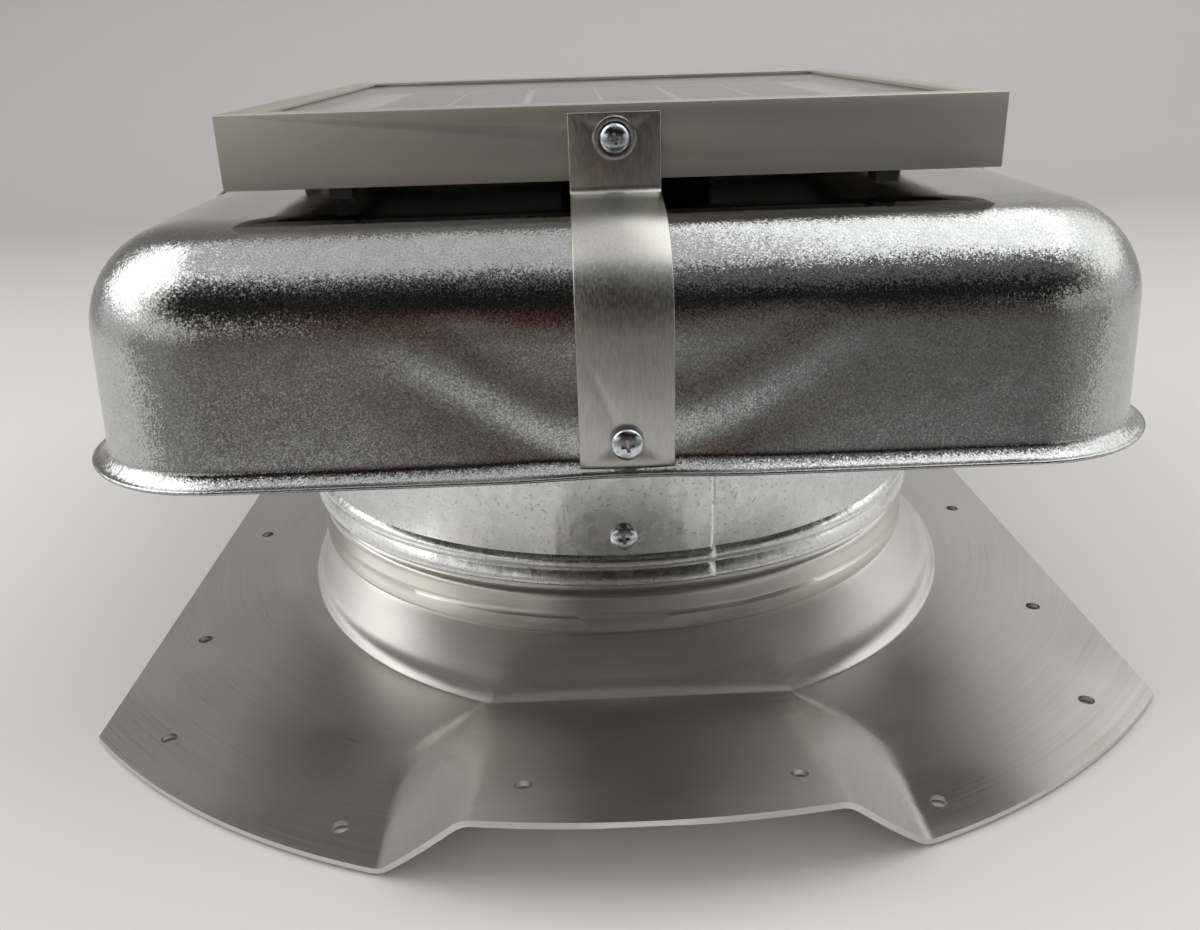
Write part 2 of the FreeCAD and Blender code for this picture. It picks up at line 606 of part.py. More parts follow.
def panel_bumpers():
    """Four rubber bumpers stuck under the front and back rails."""
    z0, z1 = PANEL_BOTTOM_Z - BUMPER_H, PANEL_BOTTOM_Z
    near, far = PANEL_HALF_D - RAIL_LIP_W + BUMPER_IN, PANEL_HALF_D - BUMPER_IN
    bumpers = []
    for sx in (-1, 1):
        x0, x1 = sx * BUMPER_X - BUMPER_W / 2, sx * BUMPER_X + BUMPER_W / 2
        bumpers += [block((x0, near, z0), (x1, far, z1)), block((x0, -far, z0), (x1, -near, z1))]
    export("panel_bumpers", bumpers)


def junction_box():
    """Box glued under the laminate, with its lid, gland and terminals.  Returns where the
    lead leaves it."""
    x0, x1 = BOX_X - BOX_HALF[0], BOX_X + BOX_HALF[0]
    y0, y1 = BOX_Y - BOX_HALF[1], BOX_Y + BOX_HALF[1]
    low = BACK_Z - BOX_H
    roof = BACK_Z - BOX_WALL
    w = BOX_WALL
    tub = block((x0, y0, low), (x1, y1, BACK_Z)).cut(
        block((x0 + w, y0 + w, low - CUT), (x1 - w, y1 - w, roof)))
    post_in = w + BOX_POST_R - 0.5
    posts = [(x0 + post_in, BOX_Y), (x1 - post_in, BOX_Y)]
    for px, py in posts:
        tub = tub.fuse(cylinder(BOX_POST_R, low, roof, px, py))
        tub = tub.cut(cylinder(BOX_SCREW_R + FIT, low - CUT, roof - 2, px, py))
    gland_r = 4.0
    gland_lip = 2.0
    inside, wall = Vec(LEAD_X, y1 - w - CUT, GLAND_Z), Vec(LEAD_X, y1, GLAND_Z)
    outside = wall + Vec(0, 7, 0)
    tub = tub.cut(rod(gland_r, inside, wall + Vec(0, CUT, 0)))
    export("junction_box", tub.removeSplitter())

    lid = block((x0, y0, low - BOX_LID_T), (x1, y1, low))
    screws = []
    for px, py in posts:
        lid = lid.cut(cylinder(BOX_SCREW_R + FIT, low - BOX_LID_T - CUT, low + CUT, px, py))
        screw = pan_screw(2 * BOX_SCREW_R, 1.5, BOX_SCREW_R, 8.0)
        screw.rotate(ORIGIN, Vec(1, 0, 0), 180)
        screw.translate(Vec(px, py, low - BOX_LID_T))
        screws.append(screw)
    export("junction_box_lid", lid)
    export("junction_box_screws", screws)

    bore = rod(LEAD_R + FIT, inside - Vec(0, CUT, 0), outside + Vec(0, CUT, 0))
    collar = rod(gland_r + gland_lip, wall, wall + Vec(0, 3, 0))
    gland = rod(gland_r, inside, outside).fuse(collar).cut(bore)
    export("junction_box_gland", gland.removeSplitter())

    terminal_h, terminal_pitch = 7.0, 9.0
    terminals = block((BOX_X - 14, BOX_Y - 8, roof - terminal_h), (BOX_X + 14, BOX_Y + 8, roof))
    for i in (-1, 0, 1):
        terminals = terminals.cut(cylinder(2.0, roof - terminal_h - CUT, roof - 3,
                                           BOX_X + terminal_pitch * i, BOX_Y))
    export("terminal_block", terminals)
    return wall


# ---------------------------------------------------------------- straps
def strap(panel_half):
    """One strap on the +X side, from the panel's rail over the hood's shoulder."""
    rest = STRAP_T / 2
    panel_x = panel_half + rest
    shoulder = (HOOD_HALF_W - HOOD_SHOULDER_R, HOOD_TOP_Z - HOOD_SHOULDER_R)
    wrap_r = HOOD_SHOULDER_R + STRAP_PLAY + rest
    wall_x = shoulder[0] + wrap_r
    bend = (panel_x, PANEL_BOTTOM_Z - STRAP_BEND_BELOW)
    dx, dz = bend[0] - shoulder[0], bend[1] - shoulder[1]
    reach = math.hypot(dx, dz)
    # the strap leaves the bend along the tangent to the shoulder
    angle = math.atan2(dz, dx) - math.acos(wrap_r / reach)
    touch = (shoulder[0] + wrap_r * math.cos(angle), shoulder[1] + wrap_r * math.sin(angle))
    slope = (touch[1] - bend[1]) / (touch[0] - bend[0])
    corner = (wall_x, bend[1] + slope * (wall_x - bend[0]))
    strip = bent_strip([(panel_x, PANEL_TOP_Z - STRAP_TOP_BELOW), bend, corner,
                        (wall_x, HOOD_BOTTOM_Z + STRAP_END_ABOVE)],
                       [STRAP_BEND_R, wrap_r], STRAP_T, STRAP_W)
    high = facing(cylinder(PANEL_SCREW_R + FIT, panel_x - 5, panel_x + 5),
                  (0, PANEL_TOP_Z - STRAP_SCREW_BELOW), 0)
    low = facing(cylinder(SCREW_R + FIT, wall_x - 5, wall_x + 5), (0, STRAP_LOW_SCREW_Z), 0)
    return strip.cut(high).cut(low), panel_x + rest, wall_x + rest


def straps():
    """Four straps with their screws, cup washers and nuts."""
    cup_washers, high_screws, low_screws, nuts = [], [], [], []
    head_r = 4.1
    bore = PANEL_SCREW_R + FIT
    washer = turned([(bore, 0), (CUP_R, 0), (CUP_R - 0.6, 1.1, CUP_R - 1.6, CUP_H),
                     (head_r + 0.2, CUP_SEAT), (bore, CUP_SEAT)])
    high = pan_screw(head_r, 2.6, PANEL_SCREW_R, 10.0)
    low = pan_screw(4.5, 2.9, SCREW_R, 8.0)
    nut = hex_nut(NUT_ACROSS_R, SCREW_R + FIT / 2, NUT_H)
    high_z = PANEL_TOP_Z - STRAP_SCREW_BELOW
    for side, angle in SIDES.items():
        half = PANEL_HALF_D if side in ("front", "back") else PANEL_HALF_W
        strip, high_face, low_face = strap(half)
        strip.rotate(ORIGIN, UP, angle)
        export(f"strap_{side}", strip)
        cup_washers.append(facing(washer, (high_face, high_z), angle))
        high_screws.append(facing(high, (high_face + CUP_SEAT, high_z), angle))
        low_screws.append(facing(low, (low_face, STRAP_LOW_SCREW_Z), angle))
        nuts.append(facing(nut, (HOOD_HALF_W - HOOD_T, STRAP_LOW_SCREW_Z), angle))
    export("strap_cup_washers", cup_washers)
    export("strap_panel_screws", high_screws)
    export("strap_hood_screws", low_screws)
    export("strap_hood_nuts", nuts)


# ---------------------------------------------------------------- motor bracket and motor
SPIDER_TAB_LOW_Z = SCREW_Z - 6.0
# the flat tab's corners must stay inside the round throat
SPIDER_TAB_X = math.sqrt((THROAT_R - FIT) ** 2 - (SPIDER_W / 2) ** 2)
SPIDER_BEND_R = 3.0
MOUNT_CIRCLE_R = MOTOR_R - MOUNT_SCREW_IN
CORE_R = MOTOR_R - MOTOR_T - MAGNET_T - CORE_GAP
SHAFT_TOP_Z = BLADE_Z + 12.0
BEARING_R = 8.0
BEARING_H = 6.0
BEARING_WALL = 2.0        # wall of the boss that holds a bearing
CAP_T = 4.0               # end cap's thickness
MOTOR_GLAND_R = 3.2
MOTOR_GLAND_LIP = 1.5
MOTOR_GLAND_OUT = 3.0
MOTOR_LEAD_Z = SPIDER_Z - 7.0
COMM_R = 9.0
COMM_Z = (MOTOR_BOTTOM_Z + 9.5, MOTOR_BOTTOM_Z + 18.5)
BRUSH_W = 5.0
BRUSH_L = 9.9
HOLDER_W = 9.0
CORE_Z = (MOTOR_BOTTOM_Z + 25.0, SPIDER_Z - BEARING_H - 6.0)
SLOT_W = 4.0              # winding slot
SLOT_L = 10.0
SLOT_MOUTH = 2.0
SLOT_RIM = 3.0            # core outside the slots
COIL_H = 4.5              # end turns above and below the core
COIL_RISE = 0.5


def motor_spider():
    """Cross-shaped bracket whose turned-down tabs are screwed to the collar."""
    low, high = SPIDER_Z, SPIDER_Z + SPIDER_T
    middle_x = SPIDER_TAB_X - SPIDER_T / 2
    arm = bent_strip([(0, low + SPIDER_T / 2), (middle_x, low + SPIDER_T / 2),
                      (middle_x, SPIDER_TAB_LOW_Z)], [SPIDER_BEND_R], SPIDER_T, SPIDER_W)
    arm = arm.cut(facing(cylinder(SCREW_R + FIT, SPIDER_TAB_X - 8, SPIDER_TAB_X + 5),
                         (0, SCREW_Z), 0))
    plate = cylinder(MOTOR_R - 3, low, high)
    cross = plate.multiFuse(around(arm, 4)).removeSplitter()
    cross = cross.cut(cylinder(SHAFT_R + 3, low - CUT, high + CUT))
    hole = cylinder(MOUNT_SCREW_R + FIT, low - CUT, high + CUT, MOUNT_CIRCLE_R)
    for place in around(hole, 4, 45):
        cross = cross.cut(place)
    export("motor_spider", cross)

    screw = pan_screw(4.3, 2.6, SCREW_R, NECK_R - SPIDER_TAB_X + 9.0)
    export("neck_screws", [facing(screw, (NECK_R, SCREW_Z), a) for a in SIDES.values()])
    nut = hex_nut(NUT_ACROSS_R, SCREW_R + FIT / 2, NUT_H)
    export("neck_screw_nuts", [facing(nut, (SPIDER_TAB_X - SPIDER_T, SCREW_Z), a)
                               for a in SIDES.values()])
    mount = pan_screw(3.8, 2.4, MOUNT_SCREW_R, SPIDER_T + MOTOR_T + CUT)
    mount.translate(Vec(MOUNT_CIRCLE_R, 0, high))
    export("motor_mount_screws", around(mount, 4, 45))


def motor_shell():
    """Can, end cap, gland and bearings.  Returns where the lead enters the can."""
    top, bottom = SPIDER_Z, MOTOR_BOTTOM_Z
    inner_r = MOTOR_R - MOTOR_T
    boss_r = BEARING_R + BEARING_WALL
    can = turned([(BEARING_R, top - MOTOR_T), (inner_r, top - MOTOR_T), (inner_r, bottom + CAP_T),
                  (MOTOR_R, bottom + CAP_T), (MOTOR_R, top), (BEARING_R, top)])
    can = can.fuse(turned([(BEARING_R, top - BEARING_H), (boss_r, top - BEARING_H),
                           (boss_r, top), (BEARING_R, top)]))
    for hole in around(cylinder(MOUNT_SCREW_R + FIT, top - 5, top + CUT, MOUNT_CIRCLE_R), 4, 45):
        can = can.cut(hole)
    inside, face = Vec(0, inner_r - 4, MOTOR_LEAD_Z), Vec(0, MOTOR_R, MOTOR_LEAD_Z)
    end = face + Vec(0, MOTOR_GLAND_OUT, 0)
    passage = rod(MOTOR_GLAND_R, inside, end + Vec(0, CUT, 0))
    export("motor_can", can.cut(passage).removeSplitter())

    gland = rod(MOTOR_GLAND_R, Vec(0, inner_r - 1.5, MOTOR_LEAD_Z), end).fuse(
        rod(MOTOR_GLAND_R + MOTOR_GLAND_LIP, face, end))
    gland = gland.cut(rod(LEAD_R + FIT, inside, end + Vec(0, CUT, 0)))
    wall = cylinder(MOTOR_R, top - 20, top).cut(cylinder(inner_r, top - 20, top))
    export("motor_gland", gland.cut(wall.cut(passage)).removeSplitter())

    boss_z = bottom + BEARING_H + BEARING_WALL
    cap = turned([(BEARING_R, bottom), (MOTOR_R, bottom), (MOTOR_R, bottom + CAP_T),
                  (boss_r, bottom + CAP_T), (boss_r, boss_z), (BEARING_R, boss_z)])
    vent = block((MOTOR_R - 17, -3, bottom - CUT), (MOTOR_R - 7, 3, bottom + CAP_T + CUT))
    for slot in around(vent, 4, 45):
        cap = cap.cut(slot)
    export("motor_end_cap", cap)

    def bearing(z_low, z_high):
        return cylinder(BEARING_R, z_low, z_high).cut(
            cylinder(SHAFT_R + RUN_GAP, z_low - CUT, z_high + CUT))
    export("motor_bearings", [bearing(top - BEARING_H, top),
                              bearing(bottom, bottom + BEARING_H)])
    return face


def motor_works():
    """Shaft, magnets, armature, commutator and brushes."""
    inner_r = MOTOR_R - MOTOR_T
    low, high = CORE_Z
    export("motor_shaft", cylinder(SHAFT_R, MOTOR_BOTTOM_Z - CUT, SHAFT_TOP_Z))

    ring = cylinder(inner_r - SHEET_GAP / 2, low - 3, high + 3).cut(
        cylinder(inner_r - MAGNET_T, low - 4, high + 4))
    gap = block((-6, -inner_r - CUT, low - 5), (6, inner_r + CUT, high + 5))
    export("motor_magnets", ring.cut(gap).Solids)

    slot_out = CORE_R - SLOT_RIM
    slot_in = slot_out - SLOT_L
    slots = around(block((slot_in, -SLOT_W / 2, low - CUT), (slot_out, SLOT_W / 2, high + CUT)),
                   CORE_SLOTS)
    mouths = around(block((slot_out - CUT, -SLOT_MOUTH / 2, low - CUT),
                          (CORE_R + CUT, SLOT_MOUTH / 2, high + CUT)), CORE_SLOTS)
    core = cylinder(CORE_R, low, high).cut(cylinder(SHAFT_R, low - CUT, high + CUT))
    export("armature_core", core.cut(Part.makeCompound(slots)).cut(Part.makeCompound(mouths)))

    wound = around(block((slot_in + FIT, FIT - SLOT_W / 2, low - COIL_RISE),
                         (slot_out - FIT, SLOT_W / 2 - FIT, high + COIL_RISE)), CORE_SLOTS)
    for z0, z1 in ((low - COIL_RISE - COIL_H, low - COIL_RISE),
                   (high + COIL_RISE, high + COIL_RISE + COIL_H)):
        wound.append(cylinder(slot_out + 0.5, z0, z1).cut(
            cylinder(slot_in - 1.5, z0 - CUT, z1 + CUT)))
    export("armature_windings", wound[0].multiFuse(wound[1:]).removeSplitter())

    drum = cylinder(COMM_R, *COMM_Z).cut(cylinder(SHAFT_R, COMM_Z[0] - CUT, COMM_Z[1] + CUT))
    nicks = around(block((COMM_R - 1.2, -0.3, COMM_Z[0] - CUT),
                         (COMM_R + CUT, 0.3, COMM_Z[1] + CUT)), CORE_SLOTS)
    export("commutator", drum.cut(Part.makeCompound(nicks)))
    brush_z = (COMM_Z[0] + 1.5, COMM_Z[1] - 1.5)
    brush = block((COMM_R + FIT, -BRUSH_W / 2, brush_z[0]),
                  (COMM_R + FIT + BRUSH_L, BRUSH_W / 2, brush_z[1]))
    holder = block((COMM_R + 3, -HOLDER_W / 2, MOTOR_BOTTOM_Z + CAP_T),
                   (COMM_R + 14, HOLDER_W / 2, COMM_Z[1] + 0.5))
    pocket = block((COMM_R + 2, -BRUSH_W / 2, brush_z[0]), (COMM_R + 12, BRUSH_W / 2, brush_z[1]))
    export("motor_brushes", around(brush, 2))
    export("brush_holders", around(holder.cut(pocket), 2))


# ---------------------------------------------------------------- fan
BLADE_TIP_R = THROAT_R - BLADE_TIP_GAP
ROOT_R = 15.0             # inner end of a blade
ROOT_W = 15.0
BLADE_RIVET_R = (19.0, 26.0)     # the two rivets of a blade, from the axis
# (share of the way from the hub flange to the tip, chord, pitch in degrees)
BLADE_SECTIONS = ((0.0, 17.0, 0.0), (0.211, 38.0, 30.0), (0.575, 56.0, 28.0), (1.0, 70.0, 23.0))
HUB_BELOW = 7.0           # hub boss below the flange
HUB_ABOVE = 4.0
SET_SCREW_R = 2.0
SET_SCREW_BELOW = 3.5
SET_SCREW_ANGLE = 36.0    # between two blades


def blade():
    """One pressed blade: a flat riveted root that twists out into a wide tip."""
    root_end = HUB_FLANGE_R + 1.0
    reach = BLADE_TIP_R + 2.0 - root_end
    sections = [(ROOT_R, ROOT_W, 0.0)]
    sections += [(root_end + share * reach, chord, pitch)
                 for share, chord, pitch in BLADE_SECTIONS]
    wires = []
    for radius, chord, pitch in sections:
        c, s = math.cos(math.radians(pitch)), math.sin(math.radians(pitch))
        corners = []
        for u, v in ((-0.5, -0.5), (0.5, -0.5), (0.5, 0.5), (-0.5, 0.5)):
            along, up = u * chord, v * BLADE_T
            corners.append(Vec(radius, along * c - up * s,
                               BLADE_Z + BLADE_T / 2 + along * s + up * c))
        wires.append(Part.makePolygon(corners + [corners[0]]))
    solid = Part.makeLoft(wires, True, True)
    solid = solid.common(cylinder(BLADE_TIP_R, BLADE_Z - 60, BLADE_Z + 60))
    for x in BLADE_RIVET_R:
        solid = solid.cut(cylinder(RIVET_R + FIT, BLADE_Z - 5, BLADE_Z + 5, x))
    return solid


def fan():
    """Hub, blades, their rivets and the set screw."""
    flange_low = BLADE_Z - HUB_FLANGE_T
    boss_low, boss_high = flange_low - HUB_BELOW, BLADE_Z + HUB_ABOVE
    hub = turned([(SHAFT_R, boss_low), (HUB_R, boss_low), (HUB_R, flange_low),
                  (HUB_FLANGE_R, flange_low), (HUB_FLANGE_R, BLADE_Z), (HUB_R, BLADE_Z),
                  (HUB_R, boss_high), (SHAFT_R, boss_high)])
    rivets = []
    for x in BLADE_RIVET_R:
        hole = cylinder(RIVET_R + FIT, flange_low - CUT, BLADE_Z + CUT, x)
        for place in around(hole, BLADE_COUNT):
            hub = hub.cut(place)
        fixed = rivet(2.9, 1.2, RIVET_R, BLADE_T + HUB_FLANGE_T)
        fixed.translate(Vec(x, 0, BLADE_Z + BLADE_T))
        rivets += around(fixed, BLADE_COUNT)
    set_z = flange_low - SET_SCREW_BELOW
    bore = cylinder(SET_SCREW_R + FIT, 0, HUB_R + 2)
    export("fan_hub", hub.cut(facing(bore, (0, set_z), SET_SCREW_ANGLE)))
    export("fan_blades", around(blade(), BLADE_COUNT))
    export("fan_rivets", rivets)
    set_screw = cylinder(SET_SCREW_R, SHAFT_R, HUB_R - 0.5)
    export("hub_set_screw", facing(set_screw, (0, set_z), SET_SCREW_ANGLE))


# ---------------------------------------------------------------- lead and its clips
def motor_lead(box_side, motor_side):
    """Lead from the junction box through the hood's roof and down the throat to the motor."""
    wall_y = LEAD_WALL_Y
    clip_z = COLLAR_TOP_Z - 7.0
    arm_clip_y = wall_y - CLIP_INSET
    route = [tuple(box_side - Vec(0, BOX_WALL + 0.5, 0)),
             (LEAD_X, GROMMET_Y, box_side.z),
             (LEAD_X, GROMMET_Y, HOOD_IN_TOP_Z - 18),
             (LEAD_X, wall_y, NECK_TOP_Z + 2),
             (LEAD_X, wall_y, motor_side.z + 2),
             (2.0, wall_y - 22, motor_side.z),
             (0.0, arm_clip_y + 12, motor_side.z),
             (0.0, motor_side.y - MOTOR_T - 1.0, motor_side.z)]
    export("motor_lead", round_tube(route, LEAD_R))

    ring_r = LEAD_R + CLIP_WALL
    bore_r = LEAD_R + FIT
    low, high = clip_z - CLIP_HALF, clip_z + CLIP_HALF
    wall_clip = cylinder(ring_r, low, high, LEAD_X, wall_y).fuse(
        block((LEAD_X - ring_r, wall_y, low), (LEAD_X + ring_r, THROAT_R + 2, high)))
    wall_clip = wall_clip.common(cylinder(THROAT_R - FIT, low - CUT, high + CUT))
    wall_clip = wall_clip.cut(cylinder(bore_r, low - CUT, high + CUT, LEAD_X, wall_y))
    centre = Vec(0, arm_clip_y, motor_side.z)
    half = Vec(0, CLIP_HALF, 0)
    past = Vec(0, CLIP_HALF + CUT, 0)
    arm_clip = rod(ring_r, centre - half, centre + half).fuse(
        block((-ring_r, arm_clip_y - CLIP_HALF, motor_side.z),
              (ring_r, arm_clip_y + CLIP_HALF, SPIDER_Z)))
    arm_clip = arm_clip.cut(rod(bore_r, centre - past, centre + past))
    export("lead_clips", [wall_clip.removeSplitter(), arm_clip.removeSplitter()])


def main():
    os.makedirs("parts", exist_ok=True)
    roof_flashing()
    neck_collar()
    hood()
    hood_legs()
    insect_screen()
    roof_grommet()
    solar_panel()
    panel_bumpers()
    box_side = junction_box()
    straps()
    motor_spider()
    motor_side = motor_shell()
    motor_works()
    fan()
    motor_lead(box_side, motor_side)


main()
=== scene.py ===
# %% [markdown]
# # A solar attic fan
# This lesson builds the looks of a solar attic fan: a spun aluminium roof flashing, a round
# galvanised neck, a drawn square hood, and a small solar panel held by four bent straps.
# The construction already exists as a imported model, so we load it first and treat it as a fixed
# frame. Pieces whose shape is already right only get a better finish. The thin sheet metal
# parts, whose soft bends and small dents make them look real, are modelled again here.
#
# %% Load the frame
import json
import math

import bmesh
import bpy
from mathutils import Matrix, Vector


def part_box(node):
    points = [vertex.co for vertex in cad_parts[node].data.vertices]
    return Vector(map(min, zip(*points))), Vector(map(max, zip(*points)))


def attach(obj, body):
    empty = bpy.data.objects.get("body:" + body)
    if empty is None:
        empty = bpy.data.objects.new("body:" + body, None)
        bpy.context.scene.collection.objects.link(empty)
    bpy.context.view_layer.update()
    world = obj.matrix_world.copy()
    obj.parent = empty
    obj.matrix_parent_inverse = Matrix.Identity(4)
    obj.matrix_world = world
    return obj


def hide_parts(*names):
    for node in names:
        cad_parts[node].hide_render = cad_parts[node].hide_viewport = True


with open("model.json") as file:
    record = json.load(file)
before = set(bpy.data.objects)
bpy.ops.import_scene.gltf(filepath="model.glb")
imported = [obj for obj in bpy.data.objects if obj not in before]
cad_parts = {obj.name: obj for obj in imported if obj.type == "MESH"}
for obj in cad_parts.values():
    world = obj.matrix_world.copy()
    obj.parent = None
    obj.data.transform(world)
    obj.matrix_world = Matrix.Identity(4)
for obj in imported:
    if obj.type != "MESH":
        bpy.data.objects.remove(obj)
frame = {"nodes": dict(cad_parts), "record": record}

MM = 0.001
UP = Vector((0, 0, 1))
scene = bpy.context.scene
nodes = frame["nodes"]
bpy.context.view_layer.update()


def box_mm(node):
    """Lowest and highest corner of a node, in millimetres."""
    low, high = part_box(node)
    return low / MM, high / MM


# %% [markdown]
# ## The camera
# A short lens near the object makes the hood loom over the flashing. The camera stands just over
# 400 mm from the fan's axis, a little above the panel, and looks down by about 22 degrees.
# Three turns place it: first the roll about the view axis, then the tilt, then the swing.
#
# %% Place the camera
CAMERA_AT = Vector((-12.8, -420.2, 194.0)) * MM
CAMERA_SWING = 0.020                     # turns in radians
CAMERA_TILT = 0.377
CAMERA_ROLL = 0.030
LENS, SENSOR_WIDTH = 32.48, 36.0         # in millimetres

camera = bpy.data.objects.new("camera", bpy.data.cameras.new("camera"))
camera.data.lens = LENS
camera.data.sensor_width = SENSOR_WIDTH
camera.data.clip_start = 0.01
camera.matrix_world = (Matrix.Translation(CAMERA_AT)
                       @ Matrix.Rotation(-CAMERA_SWING, 4, "Z")
                       @ Matrix.Rotation(math.pi / 2 - CAMERA_TILT, 4, "X")
                       @ Matrix.Rotation(-CAMERA_ROLL, 4, "Z"))
scene.collection.objects.link(camera)
scene.camera = camera
scene.view_settings.view_transform = "Standard"
print("camera at", [round(c, 3) for c in CAMERA_AT])


# %% [markdown]
# ## Helpers for shader nodes
# Colours are easiest to read as sRGB hex values, but shaders work in linear light, so one
# function turns them over. A second function adds a shader node: its settings come as keywords,
# and its sockets as a dictionary, where each takes a value or another node's output. The sums
# that shaders need most, on numbers and on vectors, are short functions on top of it.
#
# %% Colour and shader helpers
def linear(hex_colour):
    """An sRGB hex colour as the linear RGBA that shaders take."""
    channels = [int(hex_colour[i:i + 2], 16) / 255 for i in (1, 3, 5)]
    light = [c / 12.92 if c <= 0.04045 else ((c + 0.055) / 1.055) ** 2.4 for c in channels]
    return (*light, 1.0)


def add(tree, kind, sockets=None, **settings):
    """Add a shader node; sockets maps an input's name or number to a value or a source."""
    node = tree.nodes.new("ShaderNode" + kind)
    for name, value in settings.items():
        setattr(node, name, value)
    for key, value in (sockets or {}).items():
        if isinstance(value, bpy.types.NodeSocket):
            tree.links.new(value, node.inputs[key])
        else:
            node.inputs[key].default_value = value
    return node


def calc(tree, operation, *values):
    """The result of one sum on numbers."""
    return add(tree, "Math", dict(enumerate(values)), operation=operation).outputs[0]


def vector_calc(tree, operation, *values):
    """The result of one sum on vectors."""
    return add(tree, "VectorMath", dict(enumerate(values)), operation=operation).outputs[0]


def span(tree, value, start, end, low=0.0, high=1.0, **settings):
    """A number that runs from low to high while a value runs from start to end."""
    return add(tree, "MapRange", {"Value": value, "From Min": start, "From Max": end,
                                  "To Min": low, "To Max": high}, **settings).outputs[0]


def feed(tree, surface, **sources):
    """Connect sources to the inputs of a shader."""
    for name, source in sources.items():
        tree.links.new(source, surface.inputs[name.replace("_", " ")])


def shader_material(name, kind, **inputs):
    """A new material with one shader, and the place on the object in metres."""
    material = bpy.data.materials.new(name)
    material.use_nodes = True
    tree = material.node_tree
    tree.nodes.clear()
    surface = add(tree, kind, {k.replace("_", " "): v for k, v in inputs.items()})
    add(tree, "OutputMaterial", {"Surface": surface.outputs[0]})
    return material, tree, surface, add(tree, "TexCoord").outputs["Object"]


def start_material(name, **inputs):
    """A new material with one Principled shader, and the place on the object in millimetres."""
    material, tree, surface, place = shader_material(name, "BsdfPrincipled", **inputs)
    in_mm = add(tree, "Mapping", {"Vector": place, "Scale": (1 / MM, 1 / MM, 1 / MM)})
    return material, tree, surface, in_mm.outputs[0]


# %% [markdown]
# ## Noise with a real size
# Almost every finish here is noise of a known size: spangle, grit, or drawing lines. The helper
# takes the size of one grain in millimetres along each axis and returns a value from 0 to 1.
# Stretching the size along one axis turns grains into lines.
#
# %% Grain helpers
def grain(tree, place, size, detail=2.0, roughness=0.5, contrast=(0.35, 0.65)):
    """Noise whose grains measure size millimetres, spread over 0 to 1 between two levels."""
    sizes = size if isinstance(size, tuple) else (size, size, size)
    squeezed = add(tree, "Mapping", {"Vector": place, "Scale": tuple(1 / s for s in sizes)})
    noise = add(tree, "TexNoise", {"Vector": squeezed.outputs[0], "Scale": 1.0,
                                   "Detail": detail, "Roughness": roughness})
    return span(tree, noise.outputs[0], *contrast)


def between(tree, factor, low, high):
    """A number that runs from low to high with a factor."""
    return span(tree, factor, 0.0, 1.0, low, high)


def blend_colour(tree, factor, first, second):
    """A colour between two hex colours or sockets."""
    ends = [linear(c) if isinstance(c, str) else c for c in (first, second)]
    return add(tree, "Mix", {0: factor, 6: ends[0], 7: ends[1]},
               data_type="RGBA").outputs[2]


def bumped(tree, surface, *layers):
    """Stack bump layers, each a height and its depth in millimetres, on a shader."""
    normal = None
    for height, depth in layers:
        bump = add(tree, "Bump", {"Height": height, "Distance": depth * MM})
        if normal is not None:
            tree.links.new(normal, bump.inputs["Normal"])
        normal = bump.outputs[0]
    feed(tree, surface, Normal=normal)


# %% [markdown]
# ## Galvanised sheet steel for the hood
# The hood is deep drawn from hot-dip galvanised steel. Drawing stretches the zinc into a very
# fine orange peel, which sparkles like salt and pepper where a dark and a light reflection meet.
# The roof's flat was never stretched, so it stays as smooth as rolled sheet. Round the corners
# the sheet was squeezed, which leaves upright streaks in the wall and pleats in the flange: those
# follow the angle about each corner's own centre. Real grains are about a quarter of a
# millimetre; they are drawn nearly twice as coarse so that they still show from the camera.
#
# %% Galvanised steel, drawn
hood_low, hood_high = box_mm("hood")
FLANGE_OUT = hood_high.x                 # half width over the flange
WALL_HALF = FLANGE_OUT - 6.1             # half width where the shoulder ends
CORNER_R = 40.0                          # radius of the hood's corners, seen from above
CORE = WALL_HALF - CORNER_R              # the corners turn about points this far out
STREAK_GAP, STREAK_LENGTH = 1.3, 6.0     # of the upright lines round the corners
STREAKS_FULL = 22.0                      # how far into the corner they reach full depth
GLINT_SIZE, GLINT_TILT = 0.42, 0.15      # size of a tilted grain, and how far it leans


def corner_streaks(tree, place):
    """Lines about 1.3 mm apart up each corner's wall, deepest where they pleat the flange."""
    outside = vector_calc(tree, "ABSOLUTE", place)
    past = vector_calc(tree, "SUBTRACT", outside, (CORE, CORE, 0))
    x, y, z = add(tree, "SeparateXYZ", {0: past}).outputs
    along = calc(tree, "MULTIPLY", calc(tree, "ARCTAN2", y, x), CORNER_R)
    flat = add(tree, "CombineXYZ", {0: along, 2: z})
    lines = grain(tree, flat.outputs[0], (STREAK_GAP, 1.0, STREAK_LENGTH))
    round_corner = span(tree, calc(tree, "MINIMUM", x, y), 0.0, STREAKS_FULL)
    flange = span(tree, z, hood_low.z + 9.0, hood_low.z + 4.0, low=0.35)
    below_shoulder = span(tree, z, hood_high.z - 27.0, hood_high.z - 42.0)
    for mask in (round_corner, flange, below_shoulder):
        lines = calc(tree, "MULTIPLY", lines, mask)
    return lines


def tilted_grains(tree, surface, place, share):
    """Tilt the surface a little, another way in each grain, so that single grains glint."""
    cells = add(tree, "TexVoronoi", {"Vector": place, "Scale": 1.0 / GLINT_SIZE})
    centred = vector_calc(tree, "SUBTRACT", cells.outputs["Color"], (0.5, 0.5, 0.5))
    leaning = add(tree, "VectorMath", {0: centred, "Scale": calc(tree, "MULTIPLY", share,
                                                                 GLINT_TILT)},
                  operation="SCALE")
    smooth = surface.inputs["Normal"].links[0].from_socket
    tilted = vector_calc(tree, "NORMALIZE", vector_calc(tree, "ADD", smooth, leaning.outputs[0]))
    feed(tree, surface, Normal=tilted)


